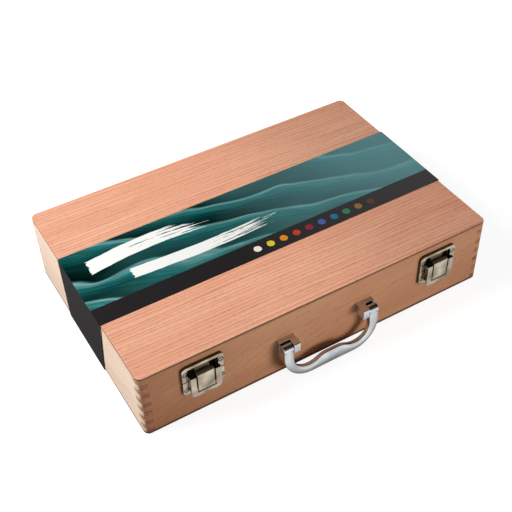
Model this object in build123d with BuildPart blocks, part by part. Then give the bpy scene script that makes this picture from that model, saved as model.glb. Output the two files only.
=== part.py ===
"""Oil paint set: a beech case with finger-jointed corners, two draw latches and a
bow handle, a printed card band round it, and tubes, bottles, brushes and a palette.

Millimetres, +Z up. X runs along the case, -Y is the side with the latches and handle.
The origin is the centre of the case on the surface that the set lies on.
"""

import os
from math import cos, radians, sin

from build123d import *

os.makedirs("parts", exist_ok=True)

# Case
case_w = 400.0
case_d = 263.0
base_h = 52.85
lid_h = 27.8
corner_r = 6.0
wall = 10.0
panel_t = 3.5
panel_edge_r = 0.6
finger = 6.4
finger_least = 1.0
lid_gap = 0.2

# Card band round the middle of the case
card_t = 0.5
card_gap = 0.4
band_w = 105.5
band_y = -0.6
band_slant = 16.8

# Fits
running = 0.05
rest = 0.02

# Lid hinges
hinge_inset = 82.0
hinge_l = 36.0
leaf_w = 8.0
leaf_t = 1.2
barrel_r = 2.2
hinge_pin_r = 1.0
knuckles = 5
hinge_screw_pitch = 22.0
barrel_gap = 0.15
lid_open = 100.0
stop_play = 1.0
stop_l = 6.0
stop_t = 1.0

# Draw latches: p is the distance in front of the case, heights are from the parting
latch_inset = 63.5
latch_w = 44.0
plate_h = 18.9
plate_t = 3.5
plate_corner_r = 5.0
plate_edge_r = 0.7
plate_split = 0.3
plate_band_h = 4.0
sheet_t = 0.9
cheek_play = 0.3
window_play = 0.55
ear_r = 1.5
ear_root_low = 11.0
ear_root_high = 6.9
ear_drop = 1.0
lever_w = 32.0
lever_low = 19.0
lever_high = 7.5
lever_face_p = 8.2
lever_corner_r = 4.0
lever_bar_w = 5.8
lever_bar_h = 4.5
lever_pivot_p = 6.1
lever_pivot_h = 6.0
cheek_r = 2.0
rivet_r = 0.8
rivet_head_r = 1.4
rivet_head_h = 0.6
claw_play = 1.2
claw_pivot_p = 5.9
claw_pivot_drop = 4.4
claw_pin_r = 0.9
claw_knuckle_r = 2.1
claw_high = 8.8
claw_reach = 4.7
claw_tip_h = 1.8
hook_w = 15.0
hook_back = 2.3
hook_gap = 0.3
hook_t = 0.8
hook_foot_h = 3.2
latch_screw_h = 10.8

# Bow handle and its brackets
pivot_p = 10.0
pivot_z = 43.2
handle_tilt = 5.5
eye_r = 5.0
leg_w = 10.5
bow_half = 55.3
bow_t = 6.0
bow_drop = 42.0
bow_lift = 165.0
bow_corner_r = 31.0
bow_edge_r = 1.2
grip_half = 6.0
grip_h = 15.6
neck_x = 27.0
neck_h = 10.2
crook_h = 28.0
grip_pull = 0.5
crook_pull = 0.58
bracket_h = 11.5
bracket_edge_r = 0.8
lug_w = 7.5
lug_gap = 0.4
socket_gap = 0.2
handle_pin_r = 1.5
bracket_screw_r = 1.5
bracket_screw_pitch = 9.5
bracket_screw_grip = 3.0

# Screws
screw_r = 1.25
screw_head_r = 2.35
screw_head_h = 1.2
screw_grip = 8.0
leaf_screw_r = 1.0
leaf_screw_head_r = 1.9
leaf_screw_head_h = 0.9
pan_head_r = 3.0
pan_head_h = 1.8

# Inside the base
divider_t = 4.0
divider_h = 38.0
tube_count = 10
tube_side_gap = 4.75
tube_r = 10.5
tube_round_l = 26.0
tube_fold_gap = 4.5
tube_fold_l = 8.0
tube_fold_t = 2.0
tube_shoulder_l = 4.0
tube_neck_r = 4.0
tube_neck_l = 8.0
tube_cap_r = 7.2
tube_cap_l = 14.0
tube_cap_taper = 3.0
tube_lift = 3.0
tube_back_gap = 12.0
tube_front_gap = 15.18
rack_t = 8.0
rack_dip = 3.0
bottle_r = 21.0
bottle_body_l = 68.0
bottle_shoulder_l = 10.0
bottle_neck_r = 9.0
bottle_neck_l = 16.0
bottle_edge_r = 2.0
bottle_cap_r = 13.0
bottle_cap_wall = 1.6
bottle_cap_edge_r = 1.0
bottle_gap = 0.6
bottle_end_gap = 4.0
brush_count = 3
brush_end_gap = 38.0
brush_start_gap = 28.0
brush_tail_r = 2.8
brush_grip_r = 4.4
brush_neck_r = 3.4
brush_rest_h = 15.0
brush_nose_l = 5.0
ferrule_l = 30.0
ferrule_tip_w = 9.0
ferrule_tip_t = 4.0
bristle_l = 24.0
bristle_tip_w = 8.0
bristle_tip_t = 1.4

# Inside the lid
palette_t = 4.0
palette_gap = 2.0
palette_lift = 0.4
palette_r = 30.0
thumb_w = 36.0
thumb_d = 24.0
thumb_inset = 50.0
rail_w = 10.0
button_l = 24.0
button_w = 9.0
button_t = 1.5
button_screw_r = 1.4
button_screw_grip = 3.2
button_head_r = 3.0
button_head_h = 1.2

# Levels and faces that the sizes above fix
under_z = card_t + rest
part_z = under_z + base_h
lid_z = part_z + lid_gap
top_z = lid_z + lid_h
floor_z = under_z + panel_t
ceiling_z = top_z - panel_t
front_y = -case_d / 2
back_y = case_d / 2
latch_x = case_w / 2 - latch_inset
hinge_x = case_w / 2 - hinge_inset
inner_w = case_w - 2 * wall
inner_d = case_d - 2 * wall
hinge_y = back_y + barrel_r + barrel_gap
hinge_z = part_z + lid_gap / 2


def front_plane(p=0.0):
    """Plane p in front of the case, facing outwards, with X and the height as its axes."""
    return Plane(origin=(0, front_y - p, 0), x_dir=(1, 0, 0), z_dir=(0, -1, 0))


def latch_plane(x, p=0.0):
    """As front_plane, with its origin at x on the parting line."""
    return Plane(origin=(x, front_y - p, part_z), x_dir=(1, 0, 0), z_dir=(0, -1, 0))


def latch_side_plane(x):
    """Plane across the front at x: axes p and the height from the parting."""
    return Plane(origin=(x, front_y, part_z), x_dir=(0, -1, 0), z_dir=(-1, 0, 0))


def hinge_side_plane(x):
    """Plane across the hinge axis at x: axes +Y and +Z."""
    return Plane(origin=(x, hinge_y, hinge_z), x_dir=(0, 1, 0), z_dir=(1, 0, 0))


def handle_side_plane(x):
    """Plane across the handle's pivot at x: axes p and +Z."""
    return Plane(origin=(x, front_y - pivot_p, pivot_z), x_dir=(0, -1, 0), z_dir=(-1, 0, 0))


def save(node, name):
    node.label = name
    export_step(node, f"parts/{name}.step")


# Screws, each with the hole that it needs

def flat_screws(seats, shank_r, head_r, head_h, length):
    """Countersunk screws, heads flush with the seat planes."""
    with BuildPart() as screws:
        for seat in seats:
            with BuildSketch(seat):
                Circle(head_r)
            with BuildSketch(seat.offset(-head_h)):
                Circle(shank_r)
            loft()
            with BuildSketch(seat.offset(-head_h)):
                Circle(shank_r)
            extrude(amount=head_h - length)
    return screws.part


ear_face = lever_w / 2 - sheet_t - cheek_play
latch_screw_x = (latch_w / 2 + ear_face + window_play) / 2

keeper_seats = []
latch_plate_seats = []
for spot_x in (-latch_x - latch_screw_x, -latch_x + latch_screw_x,
               latch_x - latch_screw_x, latch_x + latch_screw_x):
    for seats, spot_z in ((keeper_seats, lid_z + latch_screw_h),
                          (latch_plate_seats, part_z - latch_screw_h)):
        seats.append(Plane(origin=(spot_x, front_y - plate_t, spot_z), z_dir=(0, -1, 0)))

base_leaf_seats = []
lid_leaf_seats = []
for spot_x in (-hinge_x - hinge_screw_pitch / 2, -hinge_x + hinge_screw_pitch / 2,
               hinge_x - hinge_screw_pitch / 2, hinge_x + hinge_screw_pitch / 2):
    leaf_y = back_y - leaf_w / 2
    base_leaf_seats.append(Plane(origin=(spot_x, leaf_y, part_z), z_dir=(0, 0, 1)))
    lid_leaf_seats.append(Plane(origin=(spot_x, leaf_y, lid_z), z_dir=(0, 0, -1)))

latch_screw = (screw_r, screw_head_r, screw_head_h, plate_t + screw_grip)
latch_hole = (screw_r + running, screw_head_r + running, screw_head_h,
              plate_t + screw_grip + running)
leaf_screw = (leaf_screw_r, leaf_screw_head_r, leaf_screw_head_h, screw_grip)
leaf_hole = (leaf_screw_r + running, leaf_screw_head_r + running, leaf_screw_head_h,
             screw_grip + running)

keeper_holes = flat_screws(keeper_seats, *latch_hole)
latch_plate_holes = flat_screws(latch_plate_seats, *latch_hole)
base_leaf_holes = flat_screws(base_leaf_seats, *leaf_hole)
lid_leaf_holes = flat_screws(lid_leaf_seats, *leaf_hole)

save(flat_screws(keeper_seats, *latch_screw), "keeper_screws")
save(flat_screws(latch_plate_seats, *latch_screw), "latch_plate_screws")
save(flat_screws(base_leaf_seats, *leaf_screw), "base_hinge_screws")
save(flat_screws(lid_leaf_seats, *leaf_screw), "lid_hinge_screws")


# Case boards, cut from one finger-jointed box that is sawn open at the parting line

def finger_bands(low, high):
    """Heights where the end boards' fingers show on the front, between low and high."""
    bands = []
    steps = int(max(base_h, lid_h) / (2 * finger)) + 1
    for step in range(-steps, steps + 1):
        start = max(part_z + 2 * finger * step, low)
        end = min(part_z + 2 * finger * step + finger, high)
        if end - start > finger_least:
            bands.append((start, end))
    return bands


def long_board(side, low, high):
    """Front board for side -1, back board for side 1."""
    with BuildPart() as board:
        with BuildSketch(Plane.XY.offset(low)):
            RectangleRounded(case_w, case_d, corner_r)
            with Locations((0, side * (case_d - wall) / 2)):
                Rectangle(case_w, wall, mode=Mode.INTERSECT)
        extrude(amount=high - low)
        for start, end in finger_bands(low, high):
            with BuildSketch(Plane.XY.offset(start)):
                with GridLocations(case_w - wall, case_d - wall, 2, 2):
                    Rectangle(wall, wall)
            extrude(amount=end - start, mode=Mode.SUBTRACT)
    return board.part


def end_board(side, low, high):
    """Left board for side -1, right board for side 1."""
    with BuildPart() as board:
        with BuildSketch(Plane.XY.offset(low)):
            with Locations((side * (case_w - wall) / 2, 0)):
                Rectangle(wall, inner_d)
        extrude(amount=high - low)
        for start, end in finger_bands(low, high):
            with BuildSketch(Plane.XY.offset(start)):
                RectangleRounded(case_w, case_d, corner_r)
                with Locations((side * (case_w - wall) / 2, 0)):
                    Rectangle(wall, case_d, mode=Mode.INTERSECT)
            extrude(amount=end - start)
    return board.part


def case_panel(low, outer):
    """Thin panel over the top or under the bottom; outer is 1 if its top face shows."""
    with BuildPart() as panel:
        with BuildSketch(Plane.XY.offset(low)):
            RectangleRounded(case_w, case_d, corner_r)
        extrude(amount=panel_t)
        shown = panel.faces().sort_by(Axis.Z)[-1 if outer > 0 else 0]
        fillet(shown.edges(), radius=panel_edge_r)
    return panel.part


bracket_middle = bow_half + lug_gap - (leg_w + 2 * lug_gap + lug_w) / 2
bracket_spots = []
for spot_x in (-bracket_middle, bracket_middle):
    for step in (-bracket_screw_pitch / 2, bracket_screw_pitch / 2):
        bracket_spots.append((spot_x + step, pivot_z))

front_blank = long_board(-1, floor_z, part_z)
with BuildPart() as base_front_board:
    add(front_blank)
    add(latch_plate_holes, mode=Mode.SUBTRACT)
    with BuildSketch(front_plane()):
        with Locations(*bracket_spots):
            Circle(bracket_screw_r + running)
    extrude(amount=-wall, mode=Mode.SUBTRACT)
save(base_front_board.part, "base_front_board")

back_blank = long_board(1, floor_z, part_z)
with BuildPart() as base_back_board:
    add(back_blank)
    add(base_leaf_holes, mode=Mode.SUBTRACT)
    with BuildSketch(Plane.XY.offset(part_z)):
        with Locations((-hinge_x, back_y - leaf_w / 2), (hinge_x, back_y - leaf_w / 2)):
            Rectangle(hinge_l + 2 * running, leaf_w + 2 * running)
    extrude(amount=-leaf_t - rest, mode=Mode.SUBTRACT)
save(base_back_board.part, "base_back_board")

lid_front_blank = long_board(-1, lid_z, ceiling_z)
with BuildPart() as lid_front_board:
    add(lid_front_blank)
    add(keeper_holes, mode=Mode.SUBTRACT)
save(lid_front_board.part, "lid_front_board")

lid_back_blank = long_board(1, lid_z, ceiling_z)
with BuildPart() as lid_back_board:
    add(lid_back_blank)
    add(lid_leaf_holes, mode=Mode.SUBTRACT)
    with BuildSketch(Plane.XY.offset(lid_z)):
        with Locations((-hinge_x, back_y - leaf_w / 2), (hinge_x, back_y - leaf_w / 2)):
            Rectangle(hinge_l + 2 * running, leaf_w + 2 * running)
    extrude(amount=leaf_t + rest, mode=Mode.SUBTRACT)
save(lid_back_board.part, "lid_back_board")

for side, side_name in ((-1, "left"), (1, "right")):
    save(end_board(side, floor_z, part_z), f"base_{side_name}_board")
    save(end_board(side, lid_z, ceiling_z), f"lid_{side_name}_board")

save(case_panel(under_z, -1), "bottom_panel")
save(case_panel(ceiling_z, 1), "top_panel")


# Stop hinges: leaves let into the rims, barrel behind the case, tails that meet when open

knuckle_l = hinge_l / knuckles


def hinge_leaf(x, side, holes):
    """Leaf in the lid's rim for side 1, in the base's rim for side -1."""
    reach = barrel_r + barrel_gap + leaf_w
    tail = Location((0, 0, 0), (0, 0, side * (lid_open + stop_play) / 2))
    with BuildPart() as leaf:
        with BuildSketch(hinge_side_plane(x)):
            with Locations((-reach / 2, side * (lid_gap + leaf_t) / 2)):
                Rectangle(reach, leaf_t)
            with Locations(tail):
                with Locations((stop_l / 2, side * stop_t / 2)):
                    Rectangle(stop_l, stop_t)
        extrude(amount=hinge_l / 2, both=True)
        for n in range(knuckles):
            middle = x - hinge_l / 2 + (n + 0.5) * knuckle_l
            own = n % 2 == (1 if side > 0 else 0)
            with BuildSketch(hinge_side_plane(middle)):
                Circle(barrel_r if own else barrel_r + 2 * running)
            if own:
                extrude(amount=knuckle_l / 2 - running, both=True)
            else:
                extrude(amount=knuckle_l / 2 + running, both=True, mode=Mode.SUBTRACT)
        with BuildSketch(hinge_side_plane(x)):
            Circle(hinge_pin_r + running)
        extrude(amount=hinge_l, both=True, mode=Mode.SUBTRACT)
        add(holes, mode=Mode.SUBTRACT)
    return leaf.part


for side, side_name in ((-1, "left"), (1, "right")):
    save(hinge_leaf(side * hinge_x, -1, base_leaf_holes), f"base_hinge_leaf_{side_name}")
    save(hinge_leaf(side * hinge_x, 1, lid_leaf_holes), f"lid_hinge_leaf_{side_name}")

with BuildPart() as hinge_pins:
    for pin_x in (-hinge_x, hinge_x):
        with BuildSketch(hinge_side_plane(pin_x)):
            Circle(hinge_pin_r)
        extrude(amount=hinge_l / 2, both=True)
save(hinge_pins.part, "hinge_pins")


# Draw latches: keeper with its hook on the lid; plate, lever and claw on the base

def pan_outline(level, window, margin):
    """Outline of a latch plate above the parting (level 1) or below it (level -1)."""
    near = plate_split / 2 - margin
    if level > 0:
        near = near + lid_gap
    far = near + plate_h + 2 * margin
    window_far = far - margin - plate_band_h
    with BuildSketch() as outline:
        with Locations((0, level * (near + far) / 2)):
            Rectangle(latch_w + 2 * margin, far - near)
        corners = outline.vertices().group_by(Axis.Y)[-1 if level > 0 else 0]
        fillet(corners, radius=plate_corner_r + margin)
        with Locations((0, level * (window_far - margin) / 2)):
            Rectangle(window - 2 * margin, window_far - margin, mode=Mode.SUBTRACT)
    return outline.sketch


def latch_pan(x, level, window, holes):
    """Pressed plate: a shallow pan with its window's edges turned back to the wood."""
    outer = pan_outline(level, window, 0.0)
    hollow = pan_outline(level, window, -sheet_t)
    with BuildPart() as pan:
        with BuildSketch(latch_plane(x)):
            add(outer)
        extrude(amount=plate_t)
        shown = pan.faces().sort_by(Axis.Y)[0]
        fillet(shown.edges(), radius=plate_edge_r)
        with BuildSketch(latch_plane(x)):
            add(hollow)
        extrude(amount=plate_t - sheet_t, mode=Mode.SUBTRACT)
        add(holes, mode=Mode.SUBTRACT)
    return pan.part


def keeper(x):
    """Lid plate, with a tongue of its sheet folded out and up into a hook."""
    pan = latch_pan(x, 1, 2 * (ear_face + window_play), keeper_holes)
    window_top = plate_split / 2 + lid_gap + plate_h - plate_band_h
    back_p = hook_t / 2
    hook_p = lever_face_p - hook_back
    hook_top = claw_high - sheet_t / 2 - hook_gap
    with BuildPart() as plate:
        add(pan)
        with BuildSketch(latch_side_plane(x)):
            with BuildLine():
                FilletPolyline((back_p, window_top + sheet_t / 2), (back_p, hook_foot_h),
                               (hook_p, hook_foot_h), (hook_p, hook_top), radius=hook_t)
            trace(line_width=hook_t)
        extrude(amount=hook_w / 2, both=True)
    return plate.part


def latch_plate(x):
    """Base plate, with two ears folded out of its window to carry the lever."""
    pan = latch_pan(x, -1, 2 * ear_face, latch_plate_holes)
    with BuildPart() as plate:
        add(pan)
        for side in (-1, 1):
            with BuildSketch(latch_side_plane(x + side * (ear_face - sheet_t / 2))):
                with BuildLine():
                    Polyline((0, -ear_drop), (0, -ear_root_low), (plate_t, -ear_root_low),
                             (plate_t, -ear_root_high),
                             (lever_pivot_p + ear_r, lever_pivot_h),
                             (lever_pivot_p - ear_r, lever_pivot_h), (0, -ear_drop))
                make_face()
                with Locations((lever_pivot_p, lever_pivot_h)):
                    Circle(ear_r)
                    Circle(rivet_r + running, mode=Mode.SUBTRACT)
            extrude(amount=sheet_t / 2, both=True)
    return plate.part


def lever(x):
    """U-shaped lever frame, open at the top, with cheeks outside the ears."""
    back_p = lever_face_p - sheet_t / 2
    slot_low = lever_bar_h - lever_low
    with BuildPart() as frame:
        with BuildSketch(latch_plane(x, back_p)) as face:
            with Locations((0, (lever_high - lever_low) / 2)):
                Rectangle(lever_w, lever_high + lever_low)
            fillet(face.vertices().group_by(Axis.Y)[0], radius=lever_corner_r)
            with Locations((0, (slot_low + lever_high) / 2)):
                Rectangle(lever_w - 2 * lever_bar_w, lever_high - slot_low,
                          mode=Mode.SUBTRACT)
        extrude(amount=sheet_t)
        for side in (-1, 1):
            with BuildSketch(latch_side_plane(x + side * (lever_w - sheet_t) / 2)):
                with BuildLine():
                    Polyline((lever_pivot_p - cheek_r, lever_pivot_h),
                             (claw_pivot_p - cheek_r, -claw_pivot_drop),
                             (back_p, lever_corner_r - lever_low),
                             (lever_face_p, lever_corner_r - lever_low),
                             (lever_face_p, lever_pivot_h),
                             (lever_pivot_p - cheek_r, lever_pivot_h))
                make_face()
                with Locations((lever_pivot_p, lever_pivot_h)):
                    Circle(cheek_r)
                    Circle(rivet_r + running, mode=Mode.SUBTRACT)
                with Locations((claw_pivot_p, -claw_pivot_drop)):
                    Circle(claw_pin_r + running, mode=Mode.SUBTRACT)
            extrude(amount=sheet_t / 2, both=True)
    return frame.part


def claw(x):
    """Claw inside the lever's frame, its top bent over the keeper's hook."""
    tip_p = lever_face_p - claw_reach
    claw_w = lever_w - 2 * lever_bar_w - 2 * claw_play
    with BuildPart() as body:
        with BuildSketch(latch_side_plane(x)):
            with BuildLine():
                FilletPolyline((lever_face_p, lever_bar_h + claw_play - lever_low),
                               (lever_face_p, claw_high), (tip_p, claw_high),
                               (tip_p, claw_high - claw_tip_h), radius=sheet_t)
            trace(line_width=sheet_t)
            with Locations((claw_pivot_p, -claw_pivot_drop)):
                Circle(claw_knuckle_r)
                Circle(claw_pin_r + running, mode=Mode.SUBTRACT)
        extrude(amount=claw_w / 2, both=True)
    return body.part


def claw_pin(x):
    with BuildPart() as pin:
        with BuildSketch(latch_side_plane(x)):
            with Locations((claw_pivot_p, -claw_pivot_drop)):
                Circle(claw_pin_r)
        extrude(amount=lever_w / 2, both=True)
    return pin.part


for side, side_name in ((-1, "left"), (1, "right")):
    save(keeper(side * latch_x), f"keeper_{side_name}")
    save(latch_plate(side * latch_x), f"latch_plate_{side_name}")
    save(lever(side * latch_x), f"lever_{side_name}")
    save(claw(side * latch_x), f"claw_{side_name}")
    save(claw_pin(side * latch_x), f"claw_pin_{side_name}")

rivet_in = ear_face - sheet_t - rest - rivet_head_h
rivet_out = lever_w / 2 + running + rivet_head_h
with BuildPart() as lever_rivets:
    for rivet_x in (-latch_x, latch_x):
        for side in (-1, 1):
            with BuildSketch(latch_side_plane(rivet_x + side * (rivet_in + rivet_out) / 2)):
                with Locations((lever_pivot_p, lever_pivot_h)):
                    Circle(rivet_r)
            extrude(amount=(rivet_out - rivet_in) / 2, both=True)
            for head_x in (rivet_in + rivet_head_h / 2, rivet_out - rivet_head_h / 2):
                with BuildSketch(latch_side_plane(rivet_x + side * head_x)):
                    with Locations((lever_pivot_p, lever_pivot_h)):
                        Circle(rivet_head_r)
                extrude(amount=rivet_head_h / 2, both=True)
save(lever_rivets.part, "lever_rivets")


# Bow handle on two brackets

def handle_plane(n):
    """Plane of the hanging handle, n outwards from its pivot."""
    tilt = radians(handle_tilt)
    pivot = (0, front_y - pivot_p, pivot_z)
    return Plane(origin=pivot, x_dir=(1, 0, 0), z_dir=(0, -cos(tilt), sin(tilt))).offset(n)


leg_inner = bow_half - leg_w
pivot_x = bow_half - leg_w / 2
grip_y = grip_h - bow_drop
neck_y = neck_h - bow_drop
crook_y = crook_h - bow_drop
grip_reach = grip_pull * (neck_x - grip_half)
crook_reach_x = crook_pull * (leg_inner - neck_x)
crook_reach_y = crook_pull * (crook_h - neck_h)

with BuildPart() as handle_bow:
    with BuildSketch(handle_plane(eye_r - bow_t)):
        with BuildLine():
            FilletPolyline((bow_half, 0), (bow_half, -bow_drop), (0, -bow_drop),
                           radius=bow_corner_r)
            Line((0, -bow_drop), (0, grip_y))
            Line((0, grip_y), (grip_half, grip_y))
            Bezier((grip_half, grip_y), (grip_half + grip_reach, grip_y),
                   (neck_x - grip_reach, neck_y), (neck_x, neck_y))
            Bezier((neck_x, neck_y), (neck_x + crook_reach_x, neck_y),
                   (leg_inner, crook_y - crook_reach_y), (leg_inner, crook_y))
            Line((leg_inner, crook_y), (leg_inner, 0))
            Line((leg_inner, 0), (bow_half, 0))
        make_face()
        mirror(about=Plane.YZ)
    extrude(amount=bow_t)
    outline_faces = handle_bow.faces().filter_by(handle_plane(0))
    fillet(outline_faces.edges(), radius=bow_edge_r)
    for eye_x in (-pivot_x, pivot_x):
        with BuildSketch(handle_side_plane(eye_x)):
            Circle(eye_r)
        extrude(amount=leg_w / 2, both=True)
        with BuildSketch(handle_side_plane(eye_x)):
            Circle(handle_pin_r + running)
        extrude(amount=leg_w, both=True, mode=Mode.SUBTRACT)
save(handle_bow.part, "handle_bow")


def handle_bracket(side):
    """Lug for the pin, and beside it a seat round the handle's eye with two stops."""
    lug_x = side * (leg_inner - lug_gap - lug_w / 2)
    seat_w = leg_w + 2 * lug_gap
    low_stop = eye_r - bow_t - rest
    high_stop = -eye_r - rest
    high_turn = handle_tilt + bow_lift - 180
    big = 2 * bracket_h
    with BuildPart() as bracket:
        with BuildSketch(handle_side_plane(lug_x)):
            with Locations(((eye_r - pivot_p) / 2, 0)):
                Rectangle(pivot_p + eye_r, bracket_h)
        extrude(amount=lug_w / 2, both=True)
        front_edges = bracket.faces().sort_by(Axis.Y)[0].edges()
        fillet(front_edges, radius=bracket_edge_r)
        with BuildSketch(handle_side_plane(side * pivot_x)):
            with Locations((-pivot_p / 2, 0)):
                Rectangle(pivot_p, bracket_h)
            Circle(eye_r + socket_gap, mode=Mode.SUBTRACT)
            for stop, turn, half in ((low_stop, handle_tilt, -1), (high_stop, high_turn, 1)):
                with Locations(Location((0, 0, 0), (0, 0, turn))):
                    with Locations((stop + big / 2, half * big / 2)):
                        Rectangle(big, big, mode=Mode.SUBTRACT)
        extrude(amount=seat_w / 2, both=True)
        with BuildSketch(handle_side_plane(side * (leg_inner - lug_gap))):
            Circle(handle_pin_r + running)
        extrude(amount=lug_w / 2 + running, both=True, mode=Mode.SUBTRACT)
        with BuildSketch(front_plane()):
            with Locations(*bracket_spots):
                Circle(bracket_screw_r + running)
        extrude(amount=bracket_screw_grip + running, mode=Mode.SUBTRACT)
    return bracket.part


save(handle_bracket(-1), "handle_bracket_left")
save(handle_bracket(1), "handle_bracket_right")

pin_start = leg_inner - lug_gap - lug_w / 2
with BuildPart() as handle_pins:
    for side in (-1, 1):
        with BuildSketch(handle_side_plane(side * (pin_start + bow_half) / 2)):
            Circle(handle_pin_r)
        extrude(amount=(bow_half - pin_start) / 2, both=True)
save(handle_pins.part, "handle_pins")

with BuildPart() as bracket_screws:
    with BuildSketch(front_plane(bracket_screw_grip)):
        with Locations(*bracket_spots):
            Circle(bracket_screw_r)
    extrude(amount=-bracket_screw_grip - wall - rest)
    with BuildSketch(front_plane(-wall - rest)):
        with Locations(*bracket_spots):
            Circle(pan_head_r)
    extrude(amount=-pan_head_h)
save(bracket_screws.part, "bracket_screws")


# Card band: a loose closed loop, parted along the line where the lid opens

band_inner = case_w / 2 + card_gap
band_outer = band_inner + card_t
band_top = top_z + rest + card_t
band_fold_z = band_top - card_t
band_front = band_y - band_w / 2
band_back = band_y + band_w / 2


def band_edge(z):
    """Front edge of the band's sides at height z; it slants back towards the bottom."""
    return band_front + band_slant * (1 - z / band_fold_z)


def band_side(side, low, high):
    """Upright side of the loop between two heights."""
    middle = Plane(origin=(side * (band_inner + card_t / 2), 0, 0), x_dir=(0, 1, 0),
                   z_dir=(1, 0, 0))
    with BuildPart() as panel:
        with BuildSketch(middle):
            with BuildLine():
                Polyline((band_edge(low), low), (band_back, low), (band_back, high),
                         (band_edge(high), high), (band_edge(low), low))
            make_face()
        extrude(amount=card_t / 2, both=True)
    return panel.part


with BuildPart() as sleeve_bottom:
    with BuildSketch(Plane.XY):
        with Locations((0, (band_edge(card_t) + band_back) / 2)):
            Rectangle(2 * band_outer, band_back - band_edge(card_t))
    extrude(amount=card_t)
save(sleeve_bottom.part, "sleeve_bottom")

for side, side_name in ((-1, "left"), (1, "right")):
    save(band_side(side, card_t, part_z), f"sleeve_side_{side_name}")

with BuildPart() as sleeve_upper:
    with BuildSketch(Plane.XY.offset(band_fold_z)):
        with Locations((0, band_y)):
            Rectangle(2 * band_outer, band_w)
    extrude(amount=card_t)
    for side in (-1, 1):
        add(band_side(side, lid_z, band_fold_z))
save(sleeve_upper.part, "sleeve_upper")


# Fittings and contents of the base

inner_front = front_y + wall
inner_back = back_y - wall
bottle_l = bottle_body_l + bottle_shoulder_l + bottle_neck_l
bottle_y = inner_front + bottle_gap + bottle_r
bottle_step = 2 * bottle_r + bottle_gap
divider_y = bottle_y + bottle_step + bottle_r + bottle_gap + divider_t / 2
tube_bay_l = inner_back - divider_y - divider_t / 2
bay_d = divider_y - divider_t / 2 - inner_front
bay_y = inner_front + bay_d / 2
bottle_start = bottle_end_gap - inner_w / 2
cross_x = bottle_start + bottle_l + 2 * bottle_end_gap + divider_t / 2

with BuildPart() as long_divider:
    with BuildSketch(Plane.XY.offset(floor_z)):
        with Locations((0, divider_y)):
            Rectangle(inner_w, divider_t)
    extrude(amount=divider_h)
save(long_divider.part, "long_divider")

with BuildPart() as cross_divider:
    with BuildSketch(Plane.XY.offset(floor_z)):
        with Locations((cross_x, bay_y)):
            Rectangle(divider_t, bay_d)
    extrude(amount=divider_h)
save(cross_divider.part, "cross_divider")

# Paint tubes lie side by side, caps to the front, on a scalloped rack and a plain bar
tube_z = floor_z + tube_lift + tube_r
tube_pitch = (inner_w - 2 * tube_side_gap + tube_fold_gap) / tube_count
tube_fold_w = tube_pitch - tube_fold_gap
tube_ends_l = tube_round_l + tube_shoulder_l + rest + tube_cap_l
tube_taper_l = tube_bay_l - tube_front_gap - tube_ends_l - tube_fold_l - tube_back_gap
fold_y = inner_back - tube_back_gap - tube_fold_l
round_y = fold_y - tube_taper_l
shoulder_y = round_y - tube_round_l
tube_neck_y = shoulder_y - tube_shoulder_l
tube_cap_y = tube_neck_y - rest
tube_spots = [((n - (tube_count - 1) / 2) * tube_pitch, 0) for n in range(tube_count)]


def tube_plane(y):
    """Plane across all the tubes at y, facing +Y, its origin at their middle height."""
    return Plane(origin=(0, y, tube_z), x_dir=(-1, 0, 0), z_dir=(0, 1, 0))


with BuildPart() as paint_tubes:
    for spot in tube_spots:
        with BuildSketch(tube_plane(shoulder_y)):
            with Locations(spot):
                Circle(tube_r)
        extrude(amount=tube_round_l)
        with BuildSketch(tube_plane(round_y)):
            with Locations(spot):
                Circle(tube_r)
        with BuildSketch(tube_plane(fold_y)):
            with Locations(spot):
                Ellipse(tube_fold_w / 2, tube_fold_t / 2)
        loft()
        with BuildSketch(tube_plane(fold_y)):
            with Locations(spot):
                Rectangle(tube_fold_w, tube_fold_t)
        extrude(amount=tube_fold_l)
        with BuildSketch(tube_plane(tube_neck_y)):
            with Locations(spot):
                Circle(tube_neck_r)
        with BuildSketch(tube_plane(shoulder_y)):
            with Locations(spot):
                Circle(tube_r)
        loft()
        with BuildSketch(tube_plane(tube_neck_y)):
            with Locations(spot):
                Circle(tube_neck_r)
        extrude(amount=-tube_neck_l)
save(paint_tubes.part, "paint_tubes")

with BuildPart() as tube_caps:
    with BuildSketch(tube_plane(tube_cap_y)):
        with Locations(*tube_spots):
            Circle(tube_cap_r)
    extrude(amount=-tube_cap_l, taper=tube_cap_taper)
    with BuildSketch(tube_plane(tube_cap_y)):
        with Locations(*tube_spots):
            Circle(tube_neck_r + running)
    extrude(amount=-tube_neck_l - running, mode=Mode.SUBTRACT)
save(tube_caps.part, "tube_caps")

rack_y = shoulder_y + tube_round_l / 2
with BuildPart() as tube_rack:
    with BuildSketch(tube_plane(rack_y)):
        with Locations((0, -rack_dip - (tube_z - rack_dip - floor_z) / 2)):
            Rectangle(inner_w, tube_z - rack_dip - floor_z)
        with Locations(*tube_spots):
            Circle(tube_r + rest, mode=Mode.SUBTRACT)
    extrude(amount=rack_t / 2, both=True)
save(tube_rack.part, "tube_rack")

fold_bar_h = tube_z - tube_fold_t / 2 - rest - floor_z
with BuildPart() as fold_bar:
    with BuildSketch(Plane.XY.offset(floor_z)):
        with Locations((0, fold_y + tube_fold_l / 2)):
            Rectangle(inner_w, tube_fold_l)
    extrude(amount=fold_bar_h)
save(fold_bar.part, "fold_bar")

# Bottles lie in the front left bay
bottle_z = floor_z + bottle_r + rest
shoulder_x = bottle_start + bottle_body_l
neck_start_x = shoulder_x + bottle_shoulder_l
neck_end_x = neck_start_x + bottle_neck_l


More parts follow.
